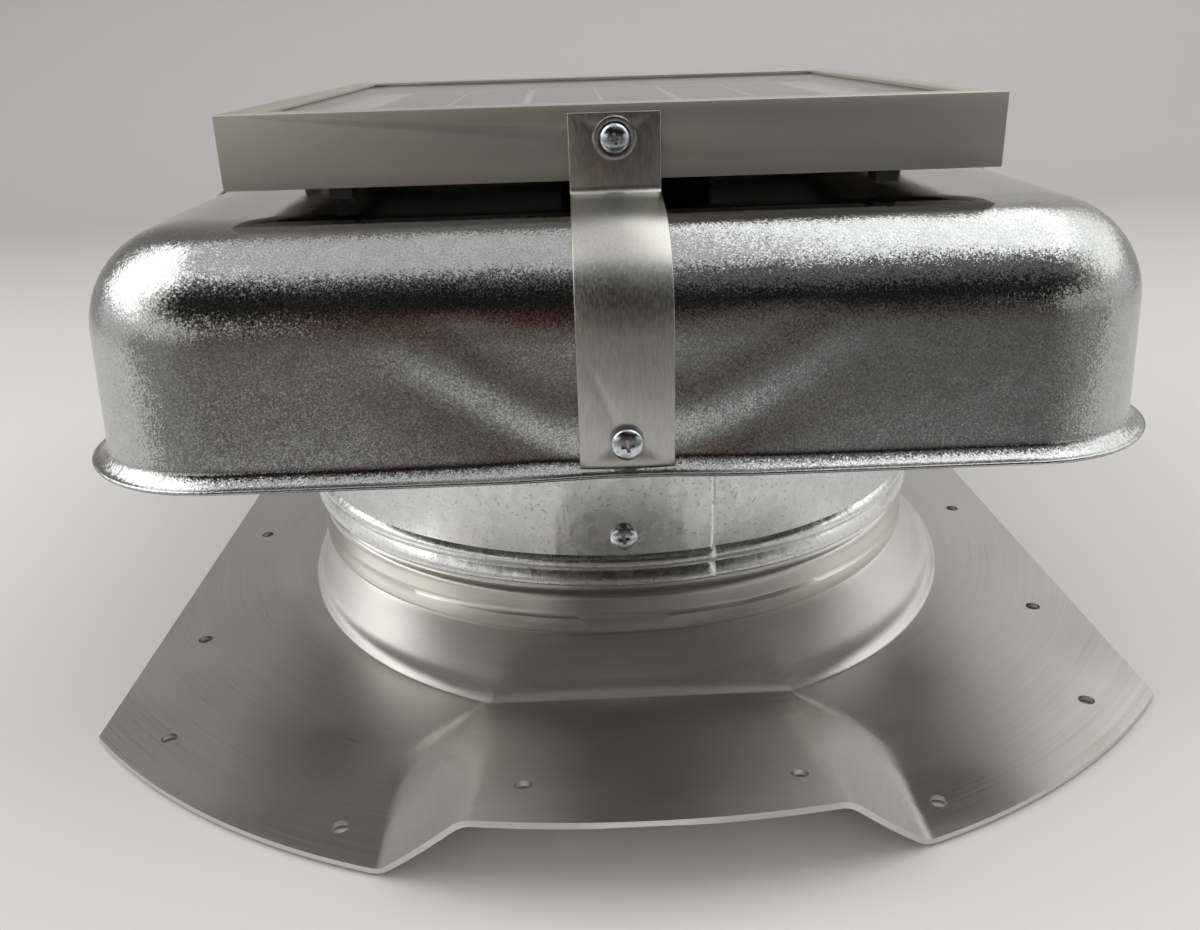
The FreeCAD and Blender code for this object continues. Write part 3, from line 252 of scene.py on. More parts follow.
def galvanised_hood():
    """Drawn sheet: fine grains, soft waves and streaks, all of them weak on the flat roof."""
    material, tree, surface, place = start_material("galvanised_steel_drawn", Metallic=1.0)
    fine = grain(tree, place, 0.5, roughness=0.6)
    mottle = grain(tree, place, 4.0)
    clouds = grain(tree, place, 30.0)
    height = add(tree, "SeparateXYZ", {0: place}).outputs[2]
    drawn = span(tree, height, hood_high.z - 0.5, hood_high.z - 4.0, low=0.10)
    peel, dimples, waves = (calc(tree, "MULTIPLY", noise, drawn)
                            for noise in (fine, mottle, clouds))
    shade = blend_colour(tree, fine, "#a6a8a7", "#cbcdcc")
    shade = blend_colour(tree, between(tree, mottle, 0.0, 0.22), shade, "#9a9c9b")
    wear = calc(tree, "ADD", between(tree, fine, 0.12, 0.20), between(tree, clouds, -0.02, 0.03))
    rough = calc(tree, "MULTIPLY", wear, between(tree, drawn, 0.35, 1.0))
    feed(tree, surface, Base_Color=shade, Roughness=rough)
    bumped(tree, surface, (waves, 0.22), (dimples, 0.012), (peel, 0.012),
           (corner_streaks(tree, place), 0.06))
    tilted_grains(tree, surface, place, drawn)
    return material


def galvanised_neck():
    """Plain galvanised sheet, only rolled: brighter, with flat spangle a few millimetres wide."""
    material, tree, surface, place = start_material("galvanised_steel_rolled", Metallic=1.0)
    spangle = add(tree, "TexVoronoi", {"Vector": place, "Scale": 0.35})
    tone = add(tree, "SeparateColor", {"Color": spangle.outputs["Color"]})
    specks = grain(tree, place, 1.1, contrast=(0.62, 0.70))
    shade = blend_colour(tree, tone.outputs[0], "#dfe1e0", "#e8eae9")
    shade = blend_colour(tree, between(tree, specks, 0.0, 0.45), shade, "#7d7f7e")
    feed(tree, surface, Base_Color=shade, Roughness=between(tree, tone.outputs[1], 0.22, 0.30))
    ripple = grain(tree, place, (6.0, 6.0, 25.0))
    bumped(tree, surface, (specks, 0.03), (ripple, 0.08))
    return material


# %% [markdown]
# ## Spun aluminium for the flashing
# The flashing is spun from half-hard aluminium sheet, and the spinning tool leaves fine rings
# all the way out. A ring is noise stretched along its own arc, so the pattern is laid out by the
# turn about the axis, the distance from it, and the height. The rings are most of a millimetre
# apart, a little coarser than real, so that they still show from the camera. The cone was worked
# hardest, so it is rougher than the rest.
#
# %% Aluminium, spun
RING_ARC_R = 140.0                       # ring lengths are true at this distance from the axis
CONE_EDGE = (141.0, 133.0)               # the cone's roughness fades in between these distances
CONE_BELOW = (15.5, 14.0)                # and these heights


def spun_aluminium():
    """Bright sheet with rings about the axis, and a rougher cone."""
    material, tree, surface, place = start_material("aluminium_spun", Metallic=1.0)
    flat_place = vector_calc(tree, "MULTIPLY", place, (1, 1, 0))
    radius = add(tree, "VectorMath", {0: flat_place}, operation="LENGTH").outputs["Value"]
    x, y, z = add(tree, "SeparateXYZ", {0: place}).outputs
    turn = calc(tree, "ARCTAN2", x, calc(tree, "MULTIPLY", y, -1.0))
    along = calc(tree, "MULTIPLY", turn, RING_ARC_R)
    round_place = add(tree, "CombineXYZ", {0: along, 1: radius, 2: z}).outputs[0]
    rings = grain(tree, round_place, (70.0, 0.9, 0.8), contrast=(0.25, 0.75))
    wide_rings = grain(tree, round_place, (180.0, 6.0, 4.0), detail=1.0)
    patches = grain(tree, place, 40.0, detail=1.0)
    shade = blend_colour(tree, rings, "#d1cec8", "#dbd8d3")
    rough = calc(tree, "ADD", between(tree, rings, 0.29, 0.345),
                 between(tree, patches, -0.03, 0.05))
    worked = calc(tree, "MULTIPLY", span(tree, radius, *CONE_EDGE), span(tree, z, *CONE_BELOW))
    rough = calc(tree, "MULTIPLY_ADD", worked, 0.16, rough)
    feed(tree, surface, Base_Color=shade, Roughness=rough)
    bumped(tree, surface, (wide_rings, 0.015), (patches, 0.06))
    return material


def brushed_sheet(name, tones, rough, line_size, depth=0.008):
    """Rolled or brushed metal: lines of line_size millimetres along each axis."""
    material, tree, surface, place = start_material(name, Metallic=1.0)
    lines = grain(tree, place, line_size, detail=3.0)
    clouds = grain(tree, place, 18.0)
    mixed = add(tree, "Mix", {0: 0.35, 2: lines, 3: clouds}).outputs[0]
    feed(tree, surface, Base_Color=blend_colour(tree, mixed, *tones),
         Roughness=between(tree, lines, *rough))
    bumped(tree, surface, (lines, depth))
    return material


# %% [markdown]
# ## Smaller metals, plastics and the panel
# The other finishes follow the same pattern. Each starts from what the real part is made of,
# and only the grain's size and the two tones change.
#
# %% Plain metals and dull materials
FINGER_GAP, FINGER_SHARE = 2.0, 0.08     # printed fingers on a cell, and their share of the gap


def dull(name, tones, rough, size, depth, metallic=0.0, **shader):
    """A grainy finish: two tones, a span of roughness, and bumps of a given size and depth."""
    material, tree, surface, place = start_material(name, Metallic=metallic, **shader)
    spots = grain(tree, place, size, detail=3.0)
    feed(tree, surface, Base_Color=blend_colour(tree, spots, *tones),
         Roughness=between(tree, spots, *rough))
    bumped(tree, surface, (spots, depth))
    return material


def solar_glass():
    """Low-iron glass: its upper face mirrors a part of what it sees, more so at a low angle."""
    material, tree, surface, place = start_material("solar_glass", Metallic=1.0, Roughness=0.10)
    surface.inputs["Base Color"].default_value = linear("#dbdedd")
    mirror = add(tree, "Fresnel", {"IOR": 1.5})
    inner = add(tree, "NewGeometry").outputs["Backfacing"]
    share = calc(tree, "MULTIPLY", mirror.outputs[0], calc(tree, "SUBTRACT", 1.0, inner))
    feed(tree, surface, Alpha=share)
    bumped(tree, surface, (grain(tree, place, 1.4), 0.004))
    return material


def backing_film():
    """Laminated film: white behind the cells, and painted black underneath as shade, where it
    faces the roof.
    """
    material, tree, surface, place = start_material("laminated_film", Roughness=0.5)
    film_low, film_high = box_mm("panel_backsheet")
    height = add(tree, "SeparateXYZ", {0: place}).outputs[2]
    upper = calc(tree, "GREATER_THAN", height, (film_low.z + film_high.z) / 2)
    weave = grain(tree, place, 3.0)
    white = blend_colour(tree, weave, "#a6a8a6", "#b4b6b4")
    # The black underneath is painted shade: it stands for the shadow under the panel, above the
    # roof.
    black = blend_colour(tree, weave, "#0b0b0c", "#121213")
    feed(tree, surface, Base_Color=blend_colour(tree, upper, black, white))
    bumped(tree, surface, (weave, 0.01))
    return material


def silicon_cell():
    """Cut silicon cells: almost black blue, with thin printed fingers 2 mm apart."""
    material, tree, surface, place = start_material("silicon_cell", Roughness=0.35)
    across = add(tree, "SeparateXYZ", {0: place}).outputs[0]
    wave = calc(tree, "FRACT", calc(tree, "MULTIPLY", across, 1 / FINGER_GAP))
    finger = calc(tree, "LESS_THAN", wave, FINGER_SHARE)
    crystal = add(tree, "TexVoronoi", {"Vector": place, "Scale": 0.12})
    tone = add(tree, "SeparateColor", {"Color": crystal.outputs["Color"]})
    body = blend_colour(tree, tone.outputs[0], "#10141f", "#18202f")
    feed(tree, surface, Base_Color=blend_colour(tree, finger, body, "#6b6f76"))
    return material


FINISHES = {
    "galvanised": galvanised_hood(),
    "spun_aluminium": spun_aluminium(),
    "mill_aluminium": brushed_sheet("aluminium_mill_finish", ("#bcbcb5", "#d0d0c9"),
                                    (0.30, 0.38), (0.6, 0.6, 3.0), 0.004),
    "anodised_frame": brushed_sheet("aluminium_anodised", ("#c4bdb5", "#cec7bf"),
                                    (0.50, 0.56), (0.5, 0.5, 0.5), 0.003),
    "zinc_fastener": dull("zinc_plated_steel", ("#c3c9cf", "#dfe4e8"), (0.12, 0.24),
                          1.5, 0.01, metallic=1.0),
    "solar_glass": solar_glass(),
    "silicon_cell": silicon_cell(),
    "tinned_ribbon": dull("tinned_copper", ("#b9b9b4", "#d2d2cd"), (0.25, 0.4), 1.0, 0.005,
                          metallic=1.0),
    "white_backsheet": backing_film(),
    "black_plastic": dull("moulded_abs", ("#161616", "#202020"), (0.42, 0.58), 0.8, 0.02),
    "black_rubber": dull("moulded_rubber", ("#141414", "#1d1d1c"), (0.65, 0.8), 1.2, 0.02),
    "lead_jacket": dull("pvc_jacket", ("#121212", "#1b1b1b"), (0.35, 0.5), 1.5, 0.01),
    "motor_steel": dull("plated_motor_steel", ("#8f918f", "#a8aaa8"), (0.28, 0.42), 2.0, 0.01,
                        metallic=1.0),
    "bright_steel": brushed_sheet("ground_steel", ("#bcbdbd", "#d0d1d1"), (0.15, 0.25),
                                  (3.0, 3.0, 0.3)),
    "bronze": dull("sintered_bronze", ("#8a6a3c", "#a9874f"), (0.4, 0.55), 0.6, 0.01,
                   metallic=1.0),
    "copper": dull("enamelled_copper", ("#8a4424", "#a85a32"), (0.25, 0.4), 0.6, 0.02,
                   metallic=1.0),
    "ferrite": dull("sintered_ferrite", ("#2b2b2d", "#38383a"), (0.55, 0.7), 0.8, 0.02),
    "laminations": brushed_sheet("stacked_laminations", ("#6a6b6c", "#8a8b8c"), (0.35, 0.5),
                                 (20.0, 20.0, 0.5), 0.02),
    "carbon": dull("pressed_carbon", ("#1c1c1e", "#2a2a2c"), (0.5, 0.7), 0.5, 0.01),
    "blade_aluminium": brushed_sheet("aluminium_blade_sheet", ("#b4b5b4", "#cacbca"),
                                     (0.28, 0.42), (18.0, 0.8, 18.0)),
}
NECK_FINISH = galvanised_neck()

for part in frame["record"]["subparts"]:
    mesh = nodes[part["node"]].data
    mesh.materials.clear()
    mesh.materials.append(FINISHES[part["material_slot"]])
print("finishes:", len(FINISHES) + 1)


# %% [markdown]
# ## Helpers for new pieces
# New pieces are modelled in millimetres and scaled to metres at the end. A piece rides on the
# body that its packed twin belongs to, and hides that twin. Edges sharper than about 35 degrees
# stay crisp, and the rest is shaded smooth.
#
# %% Piece helpers
SMOOTH_UNDER = math.radians(35)
SLOT_OF = {part["node"]: part["material_slot"] for part in frame["record"]["subparts"]}


def make_mesh(bm, name):
    """Close a bmesh in millimetres into a mesh in metres, smooth but for its sharp edges."""
    bmesh.ops.scale(bm, vec=(MM, MM, MM), verts=bm.verts)
    mesh = bpy.data.meshes.new(name)
    bm.to_mesh(mesh)
    bm.free()
    mesh.polygons.foreach_set("use_smooth", [True] * len(mesh.polygons))
    mesh.set_sharp_from_angle(angle=SMOOTH_UNDER)
    return mesh


def make_piece(bm, name, twin, finish=None, body="vent_body"):
    """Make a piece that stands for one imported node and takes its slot."""
    piece = bpy.data.objects.new(name, make_mesh(bm, name))
    piece.data.materials.append(finish or FINISHES[SLOT_OF[twin]])
    scene.collection.objects.link(piece)
    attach(piece, body)
    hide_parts(twin)
    print(f"{name}: {len(piece.data.polygons)} faces")
    return piece


def carve(bm, cutter):
    """Cut one bmesh out of another, and return the result."""
    solid = bpy.data.objects.new("solid", bpy.data.meshes.new("solid"))
    tool = bpy.data.objects.new("tool", bpy.data.meshes.new("tool"))
    for holder, source in ((solid, bm), (tool, cutter)):
        source.to_mesh(holder.data)
        source.free()
        scene.collection.objects.link(holder)
    cut = solid.modifiers.new("cut", "BOOLEAN")
    cut.operation = "DIFFERENCE"
    cut.solver = "EXACT"
    cut.use_self = True
    cut.object = tool
    graph = bpy.context.evaluated_depsgraph_get()
    result = bmesh.new()
    result.from_mesh(solid.evaluated_get(graph).to_mesh())
    bpy.data.objects.remove(solid)
    bpy.data.objects.remove(tool)
    return result


def smooth_step(value, low, high):
    """0 below low, 1 above high, and an easy curve between."""
    t = min(max((value - low) / (high - low), 0.0), 1.0)
    return t * t * (3 - 2 * t)


def drawn_line(bm, points):
    """Vertices and edges through a list of points, as an outline to spin or extrude."""
    verts = [bm.verts.new(p) for p in points]
    edges = [bm.edges.new(pair) for pair in zip(verts, verts[1:])]
    return verts + edges


def arc(centre, radius, start, end, steps):
    """Points on an arc in a plane, angles in degrees."""
    turns = [math.radians(start + (end - start) * i / steps) for i in range(steps + 1)]
    return [(centre[0] + radius * math.cos(t), centre[1] + radius * math.sin(t)) for t in turns]


# %% [markdown]
# ## The hood
# The hood is one deep drawn pan. Its section is the same all the way round: a flat roof that
# starts to bend gently, a round shoulder, a wall that flares a little, and a flange at the
# bottom. So the section is drawn once and travels round a rounded square: four straight runs
# and four quarter turns.
# The lower strap screws pull each wall in, which leaves a shallow hollow with a crease on
# either side; these are small moves of the finished vertices. The flange is not a sharp fold but
# a flare: the wall curves out into it, so a bright line runs along the whole foot of the hood.
#
# %% Section of the hood
HOOD_SHEET = 0.8
CROWN_R, CROWN_TURN = 70.0, 9.0          # gentle first part of the bend, in mm and degrees
SHOULDER_R = 29.0                        # the tight part of the bend, down to the wall
FLARE = 0.045                            # outward slope of the wall
FLARE_STEPS = ((82, 0.5), (72, 0.5), (61, 0.5), (52, 0.5), (47, 0.9), (43, 0.9), (39, 0.8),
               (31, 0.5), (21, 0.5), (12, 0.4))      # downward slope in degrees, and length
FLANGE_FALL = 0.2                        # the flange's last step down to its edge
ARC_STEPS = (5, 15, 22)                  # pieces of the crown, the shoulder and the wall
flange_top = hood_low.z + HOOD_SHEET + FLANGE_FALL
crown = math.radians(CROWN_TURN)
flat_edge = CORNER_R - SHOULDER_R * (1 - math.sin(crown)) - CROWN_R * math.sin(crown)
shoulder_z = hood_high.z - CROWN_R * (1 - math.cos(crown)) - SHOULDER_R * math.cos(crown)


def hood_section():
    """(distance from the corner's centre, height), from the roof to the flange's edge."""
    section = [(flat_edge - 3.0, hood_high.z)]
    crown_steps, shoulder_steps, wall_steps = ARC_STEPS
    section += arc((flat_edge, hood_high.z - CROWN_R), CROWN_R, 90, 90 - CROWN_TURN, crown_steps)
    section += arc((CORNER_R - SHOULDER_R, shoulder_z), SHOULDER_R, 90 - CROWN_TURN, 0,
                   shoulder_steps)[1:]
    falls = [(math.radians(slope), length) for slope, length in FLARE_STEPS]
    foot_z = flange_top + sum(length * math.sin(slope) for slope, length in falls)
    for i in range(1, wall_steps + 1):
        z = shoulder_z + (foot_z - shoulder_z) * i / wall_steps
        section.append((CORNER_R + FLARE * (shoulder_z - z), z))
    for slope, length in falls:
        out, z = section[-1]
        section.append((out + length * math.cos(slope), z - length * math.sin(slope)))
    section.append((FLANGE_OUT - CORE, flange_top - FLANGE_FALL))
    return section


print("hood section:", len(hood_section()), "points, corner centres at", round(CORE, 1))


# %% Hood shell
PULL_DEPTH, HOLLOW_DEPTH = 1.8, 0.9      # how far the foot and the hollow above it move in
FOLD_Z, FOLD_CLIMB = 96.0, 25.0          # height of the fold at the screw, and its climb
SIDE_DENTS = 0.6                         # share of the front's dents on the other walls
RUN_STEPS, TURN_STEPS = 72, 22           # faces along a wall and round a corner


def dent_depth(along, z):
    """How far the wall is pulled in at a place along it.

    The strap's lower screw pulls the foot of the wall in. The sheet folds along a line that
    climbs away from the screw on both sides, and a shallow hollow lies above that fold.
    """
    out = abs(along) + 0.04 * along
    fold = FOLD_Z + FOLD_CLIMB * smooth_step(out, 12.0, 70.0) + 1.2 * math.sin(along / 9.0)
    above = z - fold
    pulled = 1.0 - smooth_step(above, -8.0, 8.0)
    released = smooth_step(z, flange_top, fold - 4.0)
    foot_share = 1.0 - smooth_step(out, 6.0, 36.0) * (1.0 - released)
    hollow = smooth_step(above, 2.0, 15.0) * (1.0 - smooth_step(above, 14.0, 30.0))
    fade = 1.0 - smooth_step(out, 34.0, 78.0)
    uneven = 0.85 + 0.15 * math.sin(along / 11.0 + 1.3)
    return fade * uneven * (PULL_DEPTH * pulled * foot_share + HOLLOW_DEPTH * hollow)


def hood_shell():
    """The section carried round the rounded square, closed by the roof, then dented."""
    bm = bmesh.new()
    last = drawn_line(bm, [(-CORE, -CORE - out, z) for out, z in hood_section()])
    for quarter in range(4):
        heading = Matrix.Rotation(quarter * math.pi / 2, 3, "Z")
        step = heading @ Vector((2 * CORE / RUN_STEPS, 0, 0))
        run = bmesh.ops.spin(bm, geom=last, cent=(0, 0, 0), axis=UP, dvec=step, angle=0.0,
                             steps=RUN_STEPS)
        turn = bmesh.ops.spin(bm, geom=run["geom_last"], cent=heading @ Vector((CORE, -CORE, 0)),
                              axis=UP, angle=math.pi / 2, steps=TURN_STEPS)
        last = turn["geom_last"]
    bmesh.ops.remove_doubles(bm, verts=bm.verts, dist=0.01)
    roof_edge = [e for e in bm.edges if e.is_boundary and e.verts[0].co.z > hood_high.z - 0.01]
    bmesh.ops.contextual_create(bm, geom=roof_edge)
    for quarter in range(4):
        turn = Matrix.Rotation(quarter * math.pi / 2, 3, "Z")
        depth_share = 1.0 if quarter == 0 else SIDE_DENTS
        outwards = turn @ Vector((0, -1, 0))
        sideways = turn @ Vector((1, 0, 0))
        for vert in bm.verts:
            if vert.co.dot(outwards) > WALL_HALF - 2.0 and vert.co.z < shoulder_z + 8.0:
                along = vert.co.dot(sideways)
                vert.co -= outwards * depth_share * dent_depth(along, vert.co.z)
    bmesh.ops.recalc_face_normals(bm, faces=bm.faces)
    return bm


def thicken(piece, thickness):
    """Give a drawn surface the thickness of its sheet, on the inside."""
    sheet = piece.modifiers.new("sheet", "SOLIDIFY")
    sheet.thickness = thickness * MM
    sheet.offset = -1.0
    return sheet


hood = make_piece(hood_shell(), "hood_shell", "hood")
thicken(hood, HOOD_SHEET).use_even_offset = True


# %% [markdown]
# ## The roof flashing
# The flashing starts as one section spun round the axis: the collar with its two stepped rings,
# the hollow cone, and the flat. The foot of the cone is slightly longer front to back, so the
# spun rings are stretched a little there. Then the sides are cut straight, and the raised apron
# is pressed up at the front. Close cuts beside the folds let the bends come out round.
#
# %% Section of the flashing
flash_low, flash_high = box_mm("roof_flashing")
neck_low, neck_high = box_mm("neck_collar")
FLASH_SHEET = 1.6
FLASH_R = -flash_low.y
SIDE_X = flash_high.x
COLLAR_R = 115.3
COLLAR_RINGS = ((0.0, 45.0), (0.0, 38.0), (-1.6, 36.0), (-1.6, 30.6), (-0.9, 29.4), (0.0, 28.9),
                (0.6, 28.3), (1.0, 27.0), (1.0, 23.0), (1.1, 22.0), (1.8, 20.9), (1.8, 16.6),
                (1.5, 15.8))             # steps out from the collar, and their heights
CONE_TOP_R = 116.2
CONE_TOP_Z = 15.0
FOOT_SIDE_R = 125.0                      # foot of the cone, left and right
FOOT_FRONT_R = 143.0                     # where it would be in front, were it not for the fold
FOOT_SHIFT = 4.5                         # the foot lies a little to the right of the collar
FOOT_MID_R = 132.0                       # foot of the cone in the spun section
CONE_FOOT = ((4.7, 4.85), (3.7, 4.4), (2.7, 4.1), (1.9, 3.75), (1.2, 3.2), (0.6, 2.55),
             (0.1, 1.95), (-0.3, 1.7), (-0.8, FLASH_SHEET))   # distance inward, and height
FOLD_Y = 132.8                           # straight fold where cone and apron meet
CONE_STEPS, FLAT_STEPS = 8, 30           # pieces of the section


def flashing_section():
    """(radius, height) of the upper face, from the collar's top to the round edge."""
    section = [(COLLAR_R, flash_high.z)] + [(COLLAR_R + out, z) for out, z in COLLAR_RINGS]
    section.append((CONE_TOP_R, CONE_TOP_Z))
    foot_r, foot_z = FOOT_MID_R - 5.6, 5.5
    section += [(CONE_TOP_R + (foot_r - CONE_TOP_R) * i / CONE_STEPS,
                 CONE_TOP_Z + (foot_z - CONE_TOP_Z) * i / CONE_STEPS)
                for i in range(1, CONE_STEPS + 1)]
    section += [(FOOT_MID_R - inward, z) for inward, z in CONE_FOOT]
    flat_r = FOOT_MID_R + 0.8
    section += [(flat_r + (FLASH_R - FOOT_MID_R - 0.8) * i / FLAT_STEPS, FLASH_SHEET)
                for i in range(1, FLAT_STEPS + 1)]
    return section


def cone_foot_radius(x, y):
    """Distance of the cone's foot from the axis, in the direction of a place in plan."""
    away = math.hypot(x, y)
    frontness = (y / away) ** 2
    oval = FOOT_SIDE_R + (FOOT_FRONT_R - FOOT_SIDE_R) * frontness + FOOT_SHIFT * x / away
    return min(oval, FOLD_Y * away / -y) if y < -1.0 else oval


print("flashing section:", len(flashing_section()), "points")


# %% Apron
APRON_X = 2.6
APRON_TOP_HALF = 47.5
APRON_FOOT_HALF = 69.5
APRON_OPENS = 27.0                       # the sides reach full width this far from the fold
APRON_RISE = 20.4                        # height at the round edge
CUTS, CUT_GAP = 29, 1.2                  # cuts beside each sloping side, and their distance
FOLD_CUTS = (0.6, 2.0, 4.0)              # cuts in front of the fold
HOLE_R = 2.4
apron_slope = APRON_RISE / (FLASH_R - FOLD_Y)


def soft_min(a, b, reach):
    """The smaller of two heights, rounded where they cross within reach."""
    share = min(max(0.5 + 0.5 * (b - a) / reach, 0.0), 1.0)
    return b + (a - b) * share - reach * share * (1 - share)


def apron_height(x, y):
    """Height of the pressed apron above the flat."""
    ahead = -y - FOLD_Y
    if ahead <= 0.0:
        return 0.0
    top = ahead * apron_slope
    wide = (APRON_FOOT_HALF - APRON_TOP_HALF) * soft_min(ahead / APRON_OPENS, 1.0, 0.3)
    from_top = abs(x - APRON_X) - APRON_TOP_HALF
    side = top * (1.0 - from_top / max(wide, 0.01))
    lower = soft_min(top, side, min(2.6, 0.4 * top + 0.1))
    return -soft_min(-lower, 0.0, min(1.5, 0.3 * top + 0.05))


# %% Flashing sheet
SIDE_HOLE_X, SIDE_HOLE_GAP = 146.0, 86.0
HOLE_PAIRS = ((139.0, 144.0), (79.6, 187.0))   # corner and round-edge holes, in x and y
APRON_HOLE_X, APRON_HOLE_Y = 35.6, -192.0


def hole_row():
    """Centres of the nail holes: sides, corners, round edges, and the apron's two."""
    places = [(sx * SIDE_HOLE_X, sy * SIDE_HOLE_GAP) for sx in (-1, 1) for sy in (-1, 0, 1)]
    for hx, hy in HOLE_PAIRS:
        places += [(sx * hx, sy * hy) for sx in (-1, 1) for sy in (-1, 1)]
    places += [(APRON_X + 2.6 + sx * APRON_HOLE_X, APRON_HOLE_Y) for sx in (-1, 1)]
    return places


def front_faces(bm):
    """The flat's faces in front, with their edges and vertices, always in the same order."""
    middles = [(f, f.calc_center_median()) for f in bm.faces]
    faces = [f for f, middle in middles if middle.y < -118.0 and middle.z < 6.0]
    return list(dict.fromkeys(faces + [e for f in faces for e in f.edges]
                              + [v for f in faces for v in f.verts]))


def flashing_sheet():
    """The spun section, cut straight at the sides, with the apron pressed up."""
    bm = bmesh.new()
    outline = drawn_line(bm, [(0, -radius, z) for radius, z in flashing_section()])
    bmesh.ops.spin(bm, geom=outline, cent=(0, 0, 0), axis=UP, angle=2 * math.pi, steps=240,
                   use_merge=True)
    bmesh.ops.remove_doubles(bm, verts=bm.verts, dist=0.01)
    for vert in bm.verts:
        radius = vert.co.xy.length
        foot = cone_foot_radius(vert.co.x, vert.co.y)
        if CONE_TOP_R < radius <= FOOT_MID_R:
            share = (radius - CONE_TOP_R) / (FOOT_MID_R - CONE_TOP_R)
            vert.co.xy *= (CONE_TOP_R + share * (foot - CONE_TOP_R)) / radius
        elif radius > FOOT_MID_R:
            share = (radius - FOOT_MID_R) / (FLASH_R - FOOT_MID_R)
            vert.co.xy *= (foot + share * (FLASH_R - foot)) / radius
    for side in (-1, 1):
        bmesh.ops.bisect_plane(bm, geom=bm.verts[:] + bm.edges[:] + bm.faces[:], dist=0.01,
                               plane_co=(side * SIDE_X, 0, 0), plane_no=(side, 0, 0),
                               clear_outer=True)
        for i in range(CUTS):
            across = APRON_X + side * (APRON_TOP_HALF - 6.0 + CUT_GAP * i)
            bmesh.ops.bisect_plane(bm, geom=front_faces(bm), dist=0.01,
                                   plane_co=(across, 0, 0), plane_no=(1, 0, 0))
    for before in FOLD_CUTS:
        bmesh.ops.bisect_plane(bm, geom=front_faces(bm), dist=0.01,
                               plane_co=(0, -FOLD_Y - before, 0), plane_no=(0, 1, 0))
    for vert in bm.verts:
        if vert.co.z < 6.0:
            vert.co.z += apron_height(vert.co.x, vert.co.y)
    bmesh.ops.recalc_face_normals(bm, faces=bm.faces)
    outermost = max(bm.faces, key=lambda f: f.calc_center_median().xy.length)
    if outermost.normal.z < 0:
        bmesh.ops.reverse_faces(bm, faces=bm.faces)
    bmesh.ops.solidify(bm, geom=bm.faces, thickness=FLASH_SHEET)
    for vert in bm.verts:
        vert.co.x = min(max(vert.co.x, -SIDE_X), SIDE_X)
        vert.co.y = max(vert.co.y, -FLASH_R)
        vert.co.z = max(vert.co.z, 0.0)
    return bm


def nail_holes():
    """One upright peg for each hole, to be cut out of the sheet."""
    bm = bmesh.new()
    for x, y in hole_row():
        at = Matrix.Translation((x, y, 10.0))
        bmesh.ops.create_cone(bm, cap_ends=True, segments=24, radius1=HOLE_R, radius2=HOLE_R,
                              depth=40.0, matrix=at)
    return bm


flashing = make_piece(carve(flashing_sheet(), nail_holes()), "spun_flashing", "roof_flashing")
lip = flashing.modifiers.new("cut_edges", "BEVEL")
lip.width = 0.25 * MM
lip.segments = 2
lip.limit_method = "ANGLE"
lip.angle_limit = math.radians(60)
even = flashing.modifiers.new("even", "WEIGHTED_NORMAL")
even.keep_sharp = True


# %% [markdown]
# ## The neck
# The neck is a galvanised strip rolled into a tube and lapped on itself at the front. Its lower
# edge flares into a lip, with a half-round bead just above. Spinning the section without closing
# it leaves the two ends free, so the lap is real: the outer end rides just clear of the inner.
#
# %% Neck tube
NECK_SHEET = 0.7
NECK_R = 116.3
LIP_OUT = 1.9
BEAD_OUT, BEAD_HEIGHT = 1.7, 5.4
NECK_TURN = 367.0                        # degrees, so that the strip laps over its own start
LAP_IN = 0.75                            # how far the inner end lies inside the outer one
LAP_AT = 15.0                            # the lap's edge stands this far right of the middle


def neck_tube():
    """The lapped strip, with its lip and bead."""
    low = neck_low.z
    section = [(NECK_R + LIP_OUT, low + 0.4), (NECK_R + LIP_OUT, low + 1.0),
               (NECK_R + LIP_OUT * 0.75, low + 2.8), (NECK_R + 0.2, low + 4.4)]
    section += [(NECK_R + BEAD_OUT * math.sin(math.pi * i / 8), low + 4.8 + BEAD_HEIGHT * i / 8)
                for i in range(9)]
    section += [(NECK_R, low + 12.0), (NECK_R, low + 24.0), (NECK_R, low + 44.0),
                (NECK_R, neck_high.z)]
    start = math.asin(LAP_AT / NECK_R) - math.pi / 2
    heading = Vector((math.cos(start), math.sin(start), 0))
    bm = bmesh.new()
    outline = drawn_line(bm, [heading * r + UP * z for r, z in section])
    bmesh.ops.spin(bm, geom=outline, cent=(0, 0, 0), axis=UP, angle=math.radians(NECK_TURN),
                   steps=300)
    for index, vert in enumerate(bm.verts):
        step = index // len(section)
        inside = 1.0 - smooth_step(step, 0.0, 16.0)
        vert.co.xy *= 1.0 - LAP_IN * inside / NECK_R
    bmesh.ops.recalc_face_normals(bm, faces=bm.faces)
    return bm


neck = make_piece(neck_tube(), "neck_tube", "neck_collar", NECK_FINISH)
thicken(neck, NECK_SHEET)


# %% [markdown]
# ## Softer edges on cut and extruded parts
# Straps and frame rails already have the right shape, but no real edge is perfectly sharp: a
# narrow round catches the light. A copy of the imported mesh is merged, its flat faces joined,
# and every sharp edge bevelled by a few tenths of a millimetre.
#
# %% Bevelled copies
def softened(node, radius):
    """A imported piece's mesh, with its sharp edges rounded by a radius."""
    bm = bmesh.new()
    bm.from_mesh(nodes[node].data)
    bmesh.ops.scale(bm, vec=(1 / MM, 1 / MM, 1 / MM), verts=bm.verts)
    bmesh.ops.remove_doubles(bm, verts=bm.verts, dist=0.005)
    bmesh.ops.dissolve_limit(bm, angle_limit=math.radians(1.0), verts=bm.verts, edges=bm.edges)
    sharp = [e for e in bm.edges if e.is_manifold and e.calc_face_angle() > math.radians(40)]
    bmesh.ops.bevel(bm, geom=sharp, offset=radius, affect="EDGES", segments=2, profile=0.5,
                    material=-1)
    return bm


